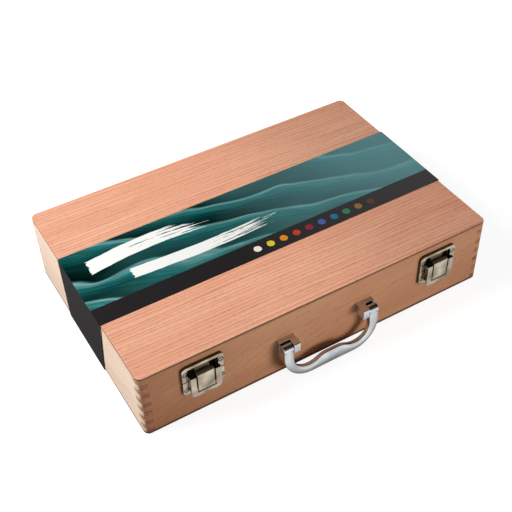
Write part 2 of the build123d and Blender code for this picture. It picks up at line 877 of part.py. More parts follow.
def bottle(y):
    """Lying bottle; its half outline turns about its own axis."""
    with BuildPart() as body:
        with BuildSketch(Plane(origin=(0, y, bottle_z), x_dir=(1, 0, 0), z_dir=(0, -1, 0))):
            with BuildLine():
                Polyline((neck_start_x, bottle_neck_r), (neck_end_x, bottle_neck_r),
                         (neck_end_x, 0), (bottle_start, 0), (bottle_start, bottle_r),
                         (shoulder_x, bottle_r))
                Bezier((shoulder_x, bottle_r), (neck_start_x, bottle_r),
                       (shoulder_x, bottle_neck_r), (neck_start_x, bottle_neck_r))
            make_face()
        revolve(axis=Axis((0, y, bottle_z), (1, 0, 0)))
        fillet(body.edges().group_by(Axis.X)[0], radius=bottle_edge_r)
    return body.part


def bottle_cap(y):
    plane = Plane(origin=(neck_start_x + rest, y, bottle_z), z_dir=(1, 0, 0))
    with BuildPart() as cap:
        with BuildSketch(plane):
            Circle(bottle_cap_r)
        extrude(amount=bottle_neck_l + bottle_cap_wall)
        fillet(cap.edges().group_by(Axis.X)[-1], radius=bottle_cap_edge_r)
        with BuildSketch(plane):
            Circle(bottle_neck_r + running)
        extrude(amount=bottle_neck_l, mode=Mode.SUBTRACT)
    return cap.part


for step, place in ((0, "front"), (1, "rear")):
    save(bottle(bottle_y + step * bottle_step), f"bottle_{place}")
    save(bottle_cap(bottle_y + step * bottle_step), f"bottle_cap_{place}")

# Brushes lie in the front right bay on two notched rests
brush_z = floor_z + brush_rest_h
brush_start = cross_x + brush_start_gap
brush_l = inner_w / 2 - brush_end_gap - bristle_l - ferrule_l - brush_start
tail_rest_x = brush_start + brush_l / 4
grip_rest_x = brush_start + brush_l * 5 / 6
tail_end_x = tail_rest_x + rack_t
grip_end_x = grip_rest_x + rack_t
swell_x = (tail_end_x + grip_rest_x - rack_t) / 2
ferrule_x = brush_start + brush_l
bristle_x = ferrule_x + ferrule_l
brush_spots = [(bay_y + (n - (brush_count - 1) / 2) * bay_d / brush_count, 0)
               for n in range(brush_count)]


def brush_plane(x):
    """Plane across all the brushes at x, facing +X, first axis +Y."""
    return Plane(origin=(x, 0, brush_z), x_dir=(0, 1, 0), z_dir=(1, 0, 0))


with BuildPart() as brush_handles:
    for y, _ in brush_spots:
        with BuildSketch(Plane(origin=(0, y, brush_z), x_dir=(1, 0, 0), z_dir=(0, -1, 0))):
            with BuildLine():
                Polyline((ferrule_x, brush_neck_r), (ferrule_x, 0), (brush_start, 0))
                Bezier((brush_start, 0), (brush_start, brush_tail_r),
                       (brush_start + brush_nose_l, brush_tail_r))
                Line((brush_start + brush_nose_l, brush_tail_r), (tail_end_x, brush_tail_r))
                Bezier((tail_end_x, brush_tail_r), (swell_x, brush_tail_r),
                       (swell_x, brush_grip_r), (grip_rest_x - rack_t, brush_grip_r))
                Line((grip_rest_x - rack_t, brush_grip_r), (grip_end_x, brush_grip_r))
                Bezier((grip_end_x, brush_grip_r), (ferrule_x, brush_grip_r),
                       (ferrule_x, brush_neck_r))
            make_face()
        revolve(axis=Axis((0, y, brush_z), (1, 0, 0)))
save(brush_handles.part, "brush_handles")

with BuildPart() as brush_ferrules:
    for spot in brush_spots:
        with BuildSketch(brush_plane(ferrule_x)):
            with Locations(spot):
                Circle(brush_neck_r)
        with BuildSketch(brush_plane(bristle_x)):
            with Locations(spot):
                Ellipse(ferrule_tip_w / 2, ferrule_tip_t / 2)
        loft()
save(brush_ferrules.part, "brush_ferrules")

with BuildPart() as brush_bristles:
    for spot in brush_spots:
        with BuildSketch(brush_plane(bristle_x)):
            with Locations(spot):
                Ellipse(ferrule_tip_w / 2, ferrule_tip_t / 2)
        with BuildSketch(brush_plane(bristle_x + bristle_l)):
            with Locations(spot):
                Ellipse(bristle_tip_w / 2, bristle_tip_t / 2)
        loft()
save(brush_bristles.part, "brush_bristles")

for rest_x, rest_r, place in ((tail_rest_x, brush_tail_r, "tail"),
                              (grip_rest_x, brush_grip_r, "grip")):
    with BuildPart() as brush_rest:
        with BuildSketch(brush_plane(rest_x)):
            with Locations((bay_y, -brush_rest_h / 2)):
                Rectangle(bay_d, brush_rest_h)
            with Locations(*brush_spots):
                Circle(rest_r + rest, mode=Mode.SUBTRACT)
        extrude(amount=rack_t / 2, both=True)
    save(brush_rest.part, f"brush_rest_{place}")


# Palette in the lid, between two rails, held by turn buttons

palette_w = inner_w - 2 * rail_w - 2 * palette_gap
palette_d = inner_d - 2 * palette_gap
rail_z = ceiling_z - palette_lift - palette_t
rail_x = (inner_w - rail_w) / 2
button_z = rail_z - rest - button_t

with BuildPart() as palette:
    with BuildSketch(Plane.XY.offset(rail_z)):
        RectangleRounded(palette_w, palette_d, palette_r)
        with Locations((palette_w / 2 - thumb_inset, thumb_inset - palette_d / 2)):
            Ellipse(thumb_w / 2, thumb_d / 2, mode=Mode.SUBTRACT)
    extrude(amount=palette_t)
save(palette.part, "palette")

for side, side_name in ((-1, "left"), (1, "right")):
    with BuildPart() as rail:
        with BuildSketch(Plane.XY.offset(rail_z)):
            with Locations((side * rail_x, 0)):
                Rectangle(rail_w, inner_d)
        extrude(amount=ceiling_z - rail_z)
        with BuildSketch(Plane.XY.offset(rail_z)):
            with Locations((side * rail_x, 0)):
                Circle(button_screw_r + running)
        extrude(amount=button_screw_grip + running, mode=Mode.SUBTRACT)
    save(rail.part, f"palette_rail_{side_name}")
    with BuildPart() as button:
        with BuildSketch(Plane.XY.offset(button_z)):
            with Locations((side * (rail_x - (button_l - button_w) / 2), 0)):
                SlotOverall(button_l, button_w)
            with Locations((side * rail_x, 0)):
                Circle(button_screw_r + running, mode=Mode.SUBTRACT)
        extrude(amount=button_t)
    save(button.part, f"turn_button_{side_name}")

with BuildPart() as button_screws:
    with BuildSketch(Plane.XY.offset(button_z - rest)):
        with Locations((-rail_x, 0), (rail_x, 0)):
            Circle(button_screw_r)
    extrude(amount=2 * rest + button_t + button_screw_grip)
    with BuildSketch(Plane.XY.offset(button_z - rest)):
        with Locations((-rail_x, 0), (rail_x, 0)):
            Circle(button_head_r)
    extrude(amount=-button_head_h)
save(button_screws.part, "button_screws")

print("case", case_w, case_d, round(top_z, 2), "band", round(2 * band_outer, 2))
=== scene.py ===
import math

import bmesh
import bpy
from mathutils import Matrix, Vector


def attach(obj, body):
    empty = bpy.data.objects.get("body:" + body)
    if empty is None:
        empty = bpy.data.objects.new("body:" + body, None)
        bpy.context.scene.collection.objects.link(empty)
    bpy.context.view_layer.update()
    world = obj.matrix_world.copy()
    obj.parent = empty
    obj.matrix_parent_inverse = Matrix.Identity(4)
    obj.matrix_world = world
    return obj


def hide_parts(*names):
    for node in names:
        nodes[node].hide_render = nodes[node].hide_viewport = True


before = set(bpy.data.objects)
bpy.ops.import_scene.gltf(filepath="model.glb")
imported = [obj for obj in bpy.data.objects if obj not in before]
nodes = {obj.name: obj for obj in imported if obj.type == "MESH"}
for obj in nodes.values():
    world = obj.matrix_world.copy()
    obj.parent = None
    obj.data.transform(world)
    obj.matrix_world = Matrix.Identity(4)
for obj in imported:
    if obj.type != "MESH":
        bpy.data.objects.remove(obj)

scene = bpy.context.scene
mm = 0.001
quarter = math.pi / 2
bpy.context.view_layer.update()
print("frame loaded:", len(nodes), "nodes")

# Where the solids stand, in millimetres
case = {"length": 400.0, "partZ": 53.37, "lidZ": 53.57, "topZ": 81.37, "middleZ": 40.0, "frontY": -131.52}
latch = {"middle": 136.5, "middleZ": 53.47, "screwAside": 18.675, "screwRise": 10.9, "screwY": -135.0,
         "rivetAside": 13.88, "rivetY": -137.6, "rivetZ": 59.37}


# Finishes: one function for each kind of surface, and each material named for what the real one is

def colour(code):
    # sRGB hex to Blender's linear colour
    parts = [int(code[i:i + 2], 16) / 255 for i in (1, 3, 5)]
    return tuple(c / 12.92 if c <= 0.04045 else ((c + 0.055) / 1.055) ** 2.4 for c in parts) + (1.0,)


def feed(slot, value):
    # gives an input its value; a node, a socket or a list of them is linked
    for part in value if isinstance(value, list) else [value]:
        if isinstance(part, bpy.types.Node):
            part = next(out for out in part.outputs if out.enabled)
        if isinstance(part, bpy.types.NodeSocket):
            slot.id_data.links.new(part, slot)
        else:
            slot.default_value = part


def put(tree, kind, *values, stops=(), stepped=False, **settings):
    # adds a node of a kind, with its operation as a second word; values fill its inputs in order,
    # or by name where they are a dictionary, and stops are the tones of a ramp
    kind, _, deed = kind.partition(" ")
    node = tree.nodes.new(kind if "Node" in kind else "ShaderNode" + kind)
    if kind == "Mix":
        node.data_type, node.blend_type = "RGBA", deed or "MIX"
    elif deed:
        node.operation = deed
    for name, value in settings.items():
        setattr(node, name, value)
    for _ in values[3:] if kind.endswith("IndexSwitch") else ():
        node.index_switch_items.new()
    if stops:
        band = node.color_ramp
        band.interpolation = "CONSTANT" if stepped else "LINEAR"
        while len(band.elements) < len(stops):
            band.elements.new(0.5)
        for element, (place, shade) in zip(band.elements, sorted(stops)):
            element.position = place
            element.color = colour(shade) if isinstance(shade, str) else (shade, shade, shade, 1.0)
    if values and isinstance(values[0], dict):
        given = [(node.inputs[key], value) for key, value in values[0].items()]
    else:
        given = list(zip([slot for slot in node.inputs if slot.enabled], values))
    for slot, value in given:
        feed(slot, value)
    return node


def blank(name, **surface):
    # a named material with its shader; sockets are set by name
    made = bpy.data.materials.new(name)
    made.use_nodes = True
    tree = made.node_tree
    shader = tree.nodes["Principled BSDF"]
    for key, value in surface.items():
        shader.inputs[key.replace("_", " ")].default_value = value
    return made, tree, shader


def millimetres(tree, turn=(0.0, 0.0, 0.0)):
    # object coordinates in millimetres, turned so that X runs along the grain
    source = put(tree, "TexCoord")
    wanted = {"Vector": source.outputs["Object"], "Rotation": turn, "Scale": (1 / mm,) * 3}
    return put(tree, "Mapping", wanted), source


def stretched(tree, vector, cell, detail=2.0, roughness=0.5, shift=(0.0, 0.0, 0.0)):
    # noise whose cells have a size of their own along each axis, in millimetres
    sized = {"Vector": vector, "Location": shift, "Scale": tuple(1 / size for size in cell)}
    sized = put(tree, "Mapping", sized)
    return put(tree, "TexNoise", {"Vector": sized, "Scale": 1.0, "Detail": detail, "Roughness": roughness})


def mottled(tree, noise, tone, tone2):
    # two close tones of one finish, spread by a noise
    share = put(tree, "ValToRGB", noise, stops=[(0.3, 0.0), (0.7, 1.0)])
    return put(tree, "Mix", share, colour(tone), colour(tone2))


def near(tree, value, middle, half):
    # 1 where a value lies within half of the middle
    away = put(tree, "Math ABSOLUTE", put(tree, "Math SUBTRACT", value, middle))
    return put(tree, "Math LESS_THAN", away, half)


def apart(tree, first, second):
    # distance from two legs at a right angle
    squares = [put(tree, "Math MULTIPLY", leg, leg) for leg in (first, second)]
    return put(tree, "Math SQRT", put(tree, "Math ADD", *squares))


def surface(tree, shader, tone, height, depth, strength):
    # the colour of a finish and its relief, which is depth millimetres high
    feed(shader.inputs["Base Color"], tone)
    relief = put(tree, "Bump", {"Height": height, "Distance": depth * mm, "Strength": strength})
    feed(shader.inputs["Normal"], relief)


grain = {  # cells of the figure along, across and through a board, in millimetres
    "driftAndShade": (240, 46, 46), "uneven": (160, 7.5, 7.5), "fading": (70, 5.0, 5.0), "fibre": (26, 0.9, 0.9),
    "fleck": (5.0, 0.62, 0.62), "cloud": (210, 34, 34), "pore": (3.0, 0.55, 0.9), "sawn": (40, 60, 0.55),
    "torn": (2.2, 2.2, 0.4), "ply": 1.17}


def woodFinish(name, look):
    # steamed beech: pink-brown ground, growth lines along the board and short dark flecks, with a satin sheen
    made, tree, shader = blank(name, Roughness=look["roughness"], Coat_Weight=look["lacquer"],
                               Coat_Roughness=0.32, Specular_IOR_Level=look["specular"])
    place, source = millimetres(tree, look["turn"])
    along, across, depth = put(tree, "SeparateXYZ", place).outputs
    driftAndShade = stretched(tree, place, grain["driftAndShade"], 1.0, shift=look["shift"])
    wander = put(tree, "Math MULTIPLY_ADD", driftAndShade, look["wander"], -look["wander"] / 2)
    if look["arch"]:  # a plank: rings round a pith that lies below it and runs a little askew
        askew = put(tree, "Math MULTIPLY_ADD", along, look["skew"], look["pith"][0])
        aside = put(tree, "Math ADD", across, askew)
        reach = apart(tree, aside, put(tree, "Math ADD", depth, look["pith"][1]))
    else:  # sliced veneer: straight lines
        reach = put(tree, "Math MULTIPLY_ADD", along, look["skew"], across)
    ring = put(tree, "Math DIVIDE", put(tree, "Math ADD", reach, wander), look["pitch"])
    uneven = stretched(tree, place, grain["uneven"], 1.0, shift=(3, 5, 7))
    ring = put(tree, "Math MULTIPLY_ADD", uneven, 1.6, ring)
    late = put(tree, "Math POWER", put(tree, "Math FRACT", ring), look["sharpness"])
    fading = stretched(tree, place, grain["fading"], 2.0, shift=(11, 2, 9))
    lines = put(tree, "Math MULTIPLY", late, put(tree, "ValToRGB", fading, stops=[(0.28, 0.40), (0.68, 1.0)]))
    fibre = stretched(tree, place, grain["fibre"], 3.0, 0.62)
    fleck = stretched(tree, place, grain["fleck"], 1.0, shift=(9, 1, 4))
    fleck = put(tree, "ValToRGB", fleck, stops=[(0.60, 0.0), (0.70, 1.0)])
    dark = put(tree, "Math MULTIPLY_ADD", fibre, look["fibreDepth"], -0.5 * look["fibreDepth"])
    dark = put(tree, "Math MULTIPLY_ADD", lines, look["lineDepth"], dark)
    dark = put(tree, "Math MULTIPLY_ADD", fleck, look["fleckDepth"], dark, use_clamp=True)
    cloud = stretched(tree, place, grain["cloud"], 2.0, shift=(1, 8, 2))
    tone = put(tree, "ValToRGB", cloud, stops=[(0.30, look["light"]), (0.72, look["mid"])])
    body = put(tree, "Mix", dark, tone, colour(look["line"]))
    # end grain drinks the lacquer and comes out darker, with strokes where the saw went through
    facing = {"Vector": source.outputs["Normal"], "Rotation": look["turn"]}
    facing = put(tree, "SeparateXYZ", put(tree, "Mapping", facing, vector_type="NORMAL"))
    endways = put(tree, "ValToRGB", put(tree, "Math ABSOLUTE", facing), stops=[(0.62, 0.0), (0.80, 1.0)])
    pores = stretched(tree, place, grain["pore"], 2.0, 0.7)
    endTone = mottled(tree, pores, look["endLight"], look["endDark"])
    sawn = stretched(tree, place, grain["sawn"], 1.0, shift=(4, 4, 1))
    sawn = put(tree, "ValToRGB", sawn, stops=[(0.50, 0.0), (0.60, 0.7)])
    endTone = put(tree, "Mix", sawn, endTone, colour(look["endStroke"]))
    shade = put(tree, "Mix", endways, body, endTone)
    if look.get("driftAndShade"):  # painted shade: the board's tone darkens slowly towards its ends, as the light falls off along it
        slow = put(tree, "Math MULTIPLY_ADD", along, 1 / case["length"], 0.5)
        slow = put(tree, "Math MULTIPLY_ADD", put(tree, "Math SUBTRACT", driftAndShade, 0.5), 0.25, slow)
        shade = put(tree, "Mix MULTIPLY", 1.0, shade, put(tree, "ValToRGB", slow, stops=look["driftAndShade"]))
    if look.get("edge"):  # the panel's cut edge: thin dark plies, and the lowest ply pale
        upward = put(tree, "SeparateXYZ", source.outputs["Normal"]).outputs[2]
        upright = put(tree, "ValToRGB", put(tree, "Math ABSOLUTE", upward), stops=[(0.45, 1.0), (0.75, 0.0)])
        height = put(tree, "SeparateXYZ", source.outputs["Object"]).outputs[2]
        ply = put(tree, "Math FRACT", put(tree, "Math MULTIPLY", height, 1 / (grain["ply"] * mm)))
        ply = put(tree, "ValToRGB", ply, stops=[(0.42, 0.0), (0.5, 1.0), (0.92, 1.0), (1.0, 0.0)])
        plies = put(tree, "Mix", ply, colour(look["edge"][0]), colour(look["edge"][1]))
        torn = stretched(tree, place, grain["torn"], 2.0, 0.6)
        torn = put(tree, "ValToRGB", torn, stops=[(0.3, 0.0), (0.75, 0.6)])
        plies = put(tree, "Mix", torn, plies, colour(look["edge"][2]))
        lowest = put(tree, "Math LESS_THAN", height, look["paleBelow"] * mm)
        plies = put(tree, "Mix", lowest, plies, colour(look["paleEdge"]))
        shade = put(tree, "Mix", upright, shade, plies)
    sheen = [(0.2, look["roughness"] - 0.05), (0.8, look["roughness"] + 0.08)]
    feed(shader.inputs["Roughness"], put(tree, "ValToRGB", fibre, stops=sheen))
    raised = put(tree, "Math MULTIPLY_ADD", fibre, 0.6, put(tree, "Math MULTIPLY", fleck, -0.5))
    surface(tree, shader, shade, raised, 0.10, 0.35)
    return made


beech = {
    "turn": (0.0, 0.0, 0.0), "shift": (0, 0, 0), "roughness": 0.5, "lacquer": 0.0, "specular": 0.28,
    "arch": True, "skew": 0.035, "pith": (-26.0, 34.0), "pitch": 3.4, "sharpness": 3.0, "wander": 9.0,
    "lineDepth": 0.36, "fibreDepth": 0.34, "fleckDepth": 0.30, "light": "#E9AE86", "mid": "#DC9A72",
    "line": "#A8694A", "endLight": "#E6C4A6", "endDark": "#D3AB8B", "endStroke": "#A87A5E",
}
frontBeech = woodFinish("beechBoardLacquered", beech | {
    "skew": 0.14, "lineDepth": 0.26, "fibreDepth": 0.42, "fleckDepth": 0.40,
    "driftAndShade": [(0.0, "#DDD6D2"), (0.14, "#EDEAE8"), (0.32, "#FFFFFF"), (0.66, "#FFFFFF"), (0.86, "#F5F4F4"),
              (1.0, "#EAE8E7")]})
# the end boards are a paler, greyer copy of the beech: partly their own tone, partly painted sheen from the
# lamp at the left
endBeech = woodFinish("beechEndBoardLacquered", beech | {
    "turn": (0.0, 0.0, -quarter), "shift": (40, 10, 0), "lineDepth": 0.3, "light": "#F2DAC6",
    "mid": "#E6CCB6", "line": "#BA9278", "endLight": "#C98F6E", "endDark": "#A66A4C", "endStroke": "#64301F",
    "driftAndShade": [(0.2, "#FFFFFF"), (0.5, "#FAF9F9"), (0.8, "#F0EFEF")]})
veneer = woodFinish("beechVeneerLacquered", beech | {
    "arch": False, "skew": 0.012, "pitch": 4.4, "sharpness": 1.7, "wander": 4.0, "lineDepth": 0.72,
    "fibreDepth": 0.26, "fleckDepth": 0.42, "light": "#F9BD9D", "mid": "#F1AB8B", "line": "#BD7558",
    "edge": ("#876350", "#6A4B3B", "#574234"), "paleBelow": case["topZ"] - 2.1, "paleEdge": "#C48E68",
    "driftAndShade": [(0.0, "#F2F4F6"), (0.36, "#FDFDFD"), (0.55, "#FFFFFF"), (0.78, "#F0F0F0"), (1.0, "#EBEBEB")]})
panelUnder = woodFinish("beechPanelUnderLacquered", beech | {
    "arch": False, "skew": 0.01, "pitch": 5.0, "edge": ("#8A6048", "#6B4A37", "#563C2D"),
    "paleBelow": 0.0, "paleEdge": "#C48E68"})
sanded = beech | {
    "specular": 0.25, "roughness": 0.62, "light": "#EACBA6", "mid": "#DFBB93", "line": "#BD8F66"}
innerBeech = woodFinish("beechFittingSanded", sanded)
crossBeech = woodFinish("beechFittingSandedAcross", sanded | {"turn": (0.0, 0.0, -quarter)})
paletteWood = woodFinish("walnutStainedPaletteOiled", beech | {
    "arch": False, "skew": 0.02, "pitch": 7.0, "lacquer": 0.1, "light": "#C98E5C", "mid": "#B97B4A",
    "line": "#8A5631", "endLight": "#A66F45", "endDark": "#8A5734"})


def latchPaintedShade(tree, shader, shade, place, look):
    # painted shade on the latches, placed by height and by distance from the nearer latch's middle
    x, _, z = put(tree, "SeparateXYZ", place).outputs
    aside = put(tree, "Math SUBTRACT", put(tree, "Math ABSOLUTE", x), latch["middle"])
    aside = put(tree, "Math ABSOLUTE", aside)
    if look.get("hollow"):  # painted shade: the keeper's tongue is darkened and dulled inside its window, where it sits in shadow
        half, low, high = look["hollow"]
        level = put(tree, "Math GREATER_THAN", z, low)
        level = put(tree, "Math MULTIPLY", level, put(tree, "Math LESS_THAN", z, high))
        inside = put(tree, "Math MULTIPLY", put(tree, "Math LESS_THAN", aside, half), level)
        shade = put(tree, "Mix", inside, shade, colour(look["tongueShadeTone"]))
        feed(shader.inputs["Metallic"], put(tree, "Math MULTIPLY_ADD", inside, -look["dull"], 1.0))
    if look.get("rim"):  # painted shade along the rolled edge of the claw's face, where the gap to the lever's frame lies dark
        half, low, high = look["rim"]
        edge = put(tree, "Math LESS_THAN", z, low)
        edge = put(tree, "Math MAXIMUM", put(tree, "Math GREATER_THAN", aside, half), edge)
        edge = put(tree, "Math MULTIPLY", edge, put(tree, "Math LESS_THAN", z, high))
        shade = put(tree, "Mix", put(tree, "Math MULTIPLY", edge, 0.85), shade, colour(look["grooveShadeTone"]))
    if look.get("sunk"):  # painted shadow: a dark ring in the countersink round each screw head
        fromX = put(tree, "Math SUBTRACT", aside, latch["screwAside"])
        fromZ = put(tree, "Math ABSOLUTE", put(tree, "Math SUBTRACT", z, latch["middleZ"]))
        fromZ = put(tree, "Math SUBTRACT", fromZ, latch["screwRise"])
        gap = put(tree, "Math DIVIDE", apart(tree, fromX, fromZ), look["sunk"])
        gap = put(tree, "ValToRGB", gap, stops=[(0.90, 0.9), (1.0, 0.0)])
        shade = put(tree, "Mix", gap, shade, colour(look["countersinkShadowTone"]))
    return shade


def metalFinish(name, look):
    # plated or polished metal: a fine directionless haze and soft clouds of a second tone as painted
    # reflection, then painted shade, painted reflection and bare cut edges where its look lists them
    made, tree, shader = blank(name, Metallic=1.0, Roughness=look["roughness"])
    place, source = millimetres(tree)
    haze = stretched(tree, place, (look["haze"],) * 3, 2.0, 0.6)
    # the clouds of the second tone are painted reflection: darker patches for the studio's uneven surroundings
    shade = mottled(tree, stretched(tree, place, (14, 14, 14), 1.0), look["tone"], look["tone2"])
    if look.keys() & {"hollow", "rim", "sunk"}:
        shade = latchPaintedShade(tree, shader, shade, place, look)
    if look.get("topReflection"):  # painted reflection: the claw's upward faces take a dull brown, standing in for the wood they reflect in shade
        upward = put(tree, "SeparateXYZ", source.outputs["Normal"]).outputs[2]
        bare = put(tree, "ValToRGB", upward, stops=[(0.45, 0.0), (0.85, 1.0)])
        shade = put(tree, "Mix", bare, shade, colour(look["topReflection"]))
        feed(shader.inputs["Metallic"], put(tree, "Math MULTIPLY_ADD", bare, -look["dull"], 1.0))
    if look.get("sideShadeAndBareEdge"):  # bare steel on the cut edges, and painted shade on the folded sides: faces turned away from the front are darkened
        forward = put(tree, "SeparateXYZ", source.outputs["Normal"]).outputs[1]
        cut = put(tree, "ValToRGB", put(tree, "Math ABSOLUTE", forward), stops=[(0.20, 0.85), (0.50, 0.0)])
        shade = put(tree, "Mix", cut, shade, colour(look["sideShadeAndBareEdge"]))
    if look.get("recess"):  # painted shade in a screw's cross and round the edge of its head
        recess = put(tree, "Attribute", attribute_name="recess").outputs["Fac"]
        shade = put(tree, "Mix", recess, shade, colour(look["recess"]))
    rough = look["roughness"] - look["hazeDepth"] / 2
    feed(shader.inputs["Roughness"], put(tree, "Math MULTIPLY_ADD", haze, look["hazeDepth"], rough))
    surface(tree, shader, shade, haze, look["bump"], 0.3)
    return made


plated = {
    "tone": "#CDC1AC", "tone2": "#8A7E6C", "roughness": 0.22, "haze": 1.6, "hazeDepth": 0.10, "bump": 0.03}
# pressed latch parts: bare cut edges, and painted shade on their sides
pressed = plated | {"sideShadeAndBareEdge": "#4A3B2E"}
# the plate and keeper paint a shadow ring round each screw
countersinkShaded = pressed | {"sunk": 2.95, "countersinkShadowTone": "#1E1813"}
nickel = metalFinish("nickelPlatedSteelPressed", pressed)
nickelPlate = metalFinish("nickelPlatedSteelPressedCountersinkShadow", countersinkShaded)
# the keeper paints shade on its tongue
nickelKeeper = metalFinish("nickelPlatedSteelPressedTongueShaded", countersinkShaded | {
    "hollow": (15.0, 53.9, 68.3), "tongueShadeTone": "#8C7B5C", "dull": 0.8})
# the claw paints shade along its edge and a brown reflection on its bent top
nickelClaw = metalFinish("nickelPlatedSteelBent", plated | {
    "roughness": 0.26, "rim": (8.5, case["partZ"] - 12.7, case["partZ"] + 8.0), "grooveShadeTone": "#2A211A",
    "topReflection": "#6B5946", "dull": 0.75})
chrome = metalFinish("chromePlatedZincPolished", {
    "tone": "#D3D6D8", "tone2": "#B4B8BB", "roughness": 0.08, "haze": 3.0, "hazeDepth": 0.04, "bump": 0.01})
brass = metalFinish("brassStampedSatin", {
    "tone": "#CFA860", "tone2": "#B98F48", "roughness": 0.34, "haze": 1.2, "hazeDepth": 0.14, "bump": 0.04})
zinc = metalFinish("zincPlatedSteelScrew", {
    "tone": "#D9CFBD", "tone2": "#BDB29F", "roughness": 0.26, "haze": 0.7, "hazeDepth": 0.14, "bump": 0.04,
    "recess": "#17120E"})
ferruleNickel = metalFinish("nickelPlatedBrassFerrule", {
    "tone": "#D8D5CC", "tone2": "#C9C5BB", "roughness": 0.16, "haze": 1.0, "hazeDepth": 0.06, "bump": 0.02})
# black for the sheets that paint shade into the latch windows
blackShadeFinish = metalFinish("paintedShadeSheetBlack", {
    "tone": "#221B16", "tone2": "#32271F", "roughness": 0.5, "haze": 1.5, "hazeDepth": 0.1, "bump": 0.02})


def dryStroke(tree, x, y, stroke):
    # share of a dry brush stroke drawn to the right: full at its start, split into bristle marks at its end
    (start, end), middle, half, arc, seed = stroke
    share = put(tree, "Math MULTIPLY_ADD", x, 1 / (end - start), -start / (end - start))
    rise = put(tree, "Math SINE", put(tree, "Math MULTIPLY", share, math.pi))
    rise = put(tree, "Math MULTIPLY", rise, arc)
    across = put(tree, "Math SUBTRACT", put(tree, "Math SUBTRACT", y, middle), rise)
    across = put(tree, "Math DIVIDE", across, half)
    lengthwise = put(tree, "Math MULTIPLY", x, 0.02)
    spread = put(tree, "CombineXYZ", lengthwise, put(tree, "Math MULTIPLY", across, 4.5), seed)
    hairs = put(tree, "TexNoise", {"Vector": spread, "Scale": 1.0, "Detail": 3.0, "Roughness": 0.65})
    thin = put(tree, "Math POWER", put(tree, "Math MAXIMUM", share, 0.0), 2.0)
    held = put(tree, "Math GREATER_THAN", hairs, put(tree, "Math MULTIPLY_ADD", thin, 0.42, 0.28))
    ragged = put(tree, "Math ADD", put(tree, "Math ABSOLUTE", across), put(tree, "Math MULTIPLY", hairs, 0.3))
    held = put(tree, "Math MULTIPLY", held, put(tree, "Math LESS_THAN", ragged, 1.0))
    begun = put(tree, "Math GREATER_THAN", share, put(tree, "Math MULTIPLY_ADD", hairs, 0.05, -0.02))
    lasts = put(tree, "Math LESS_THAN", share, put(tree, "Math MULTIPLY_ADD", hairs, 0.5, 0.62))
    return put(tree, "Math MULTIPLY", held, put(tree, "Math MULTIPLY", begun, lasts))


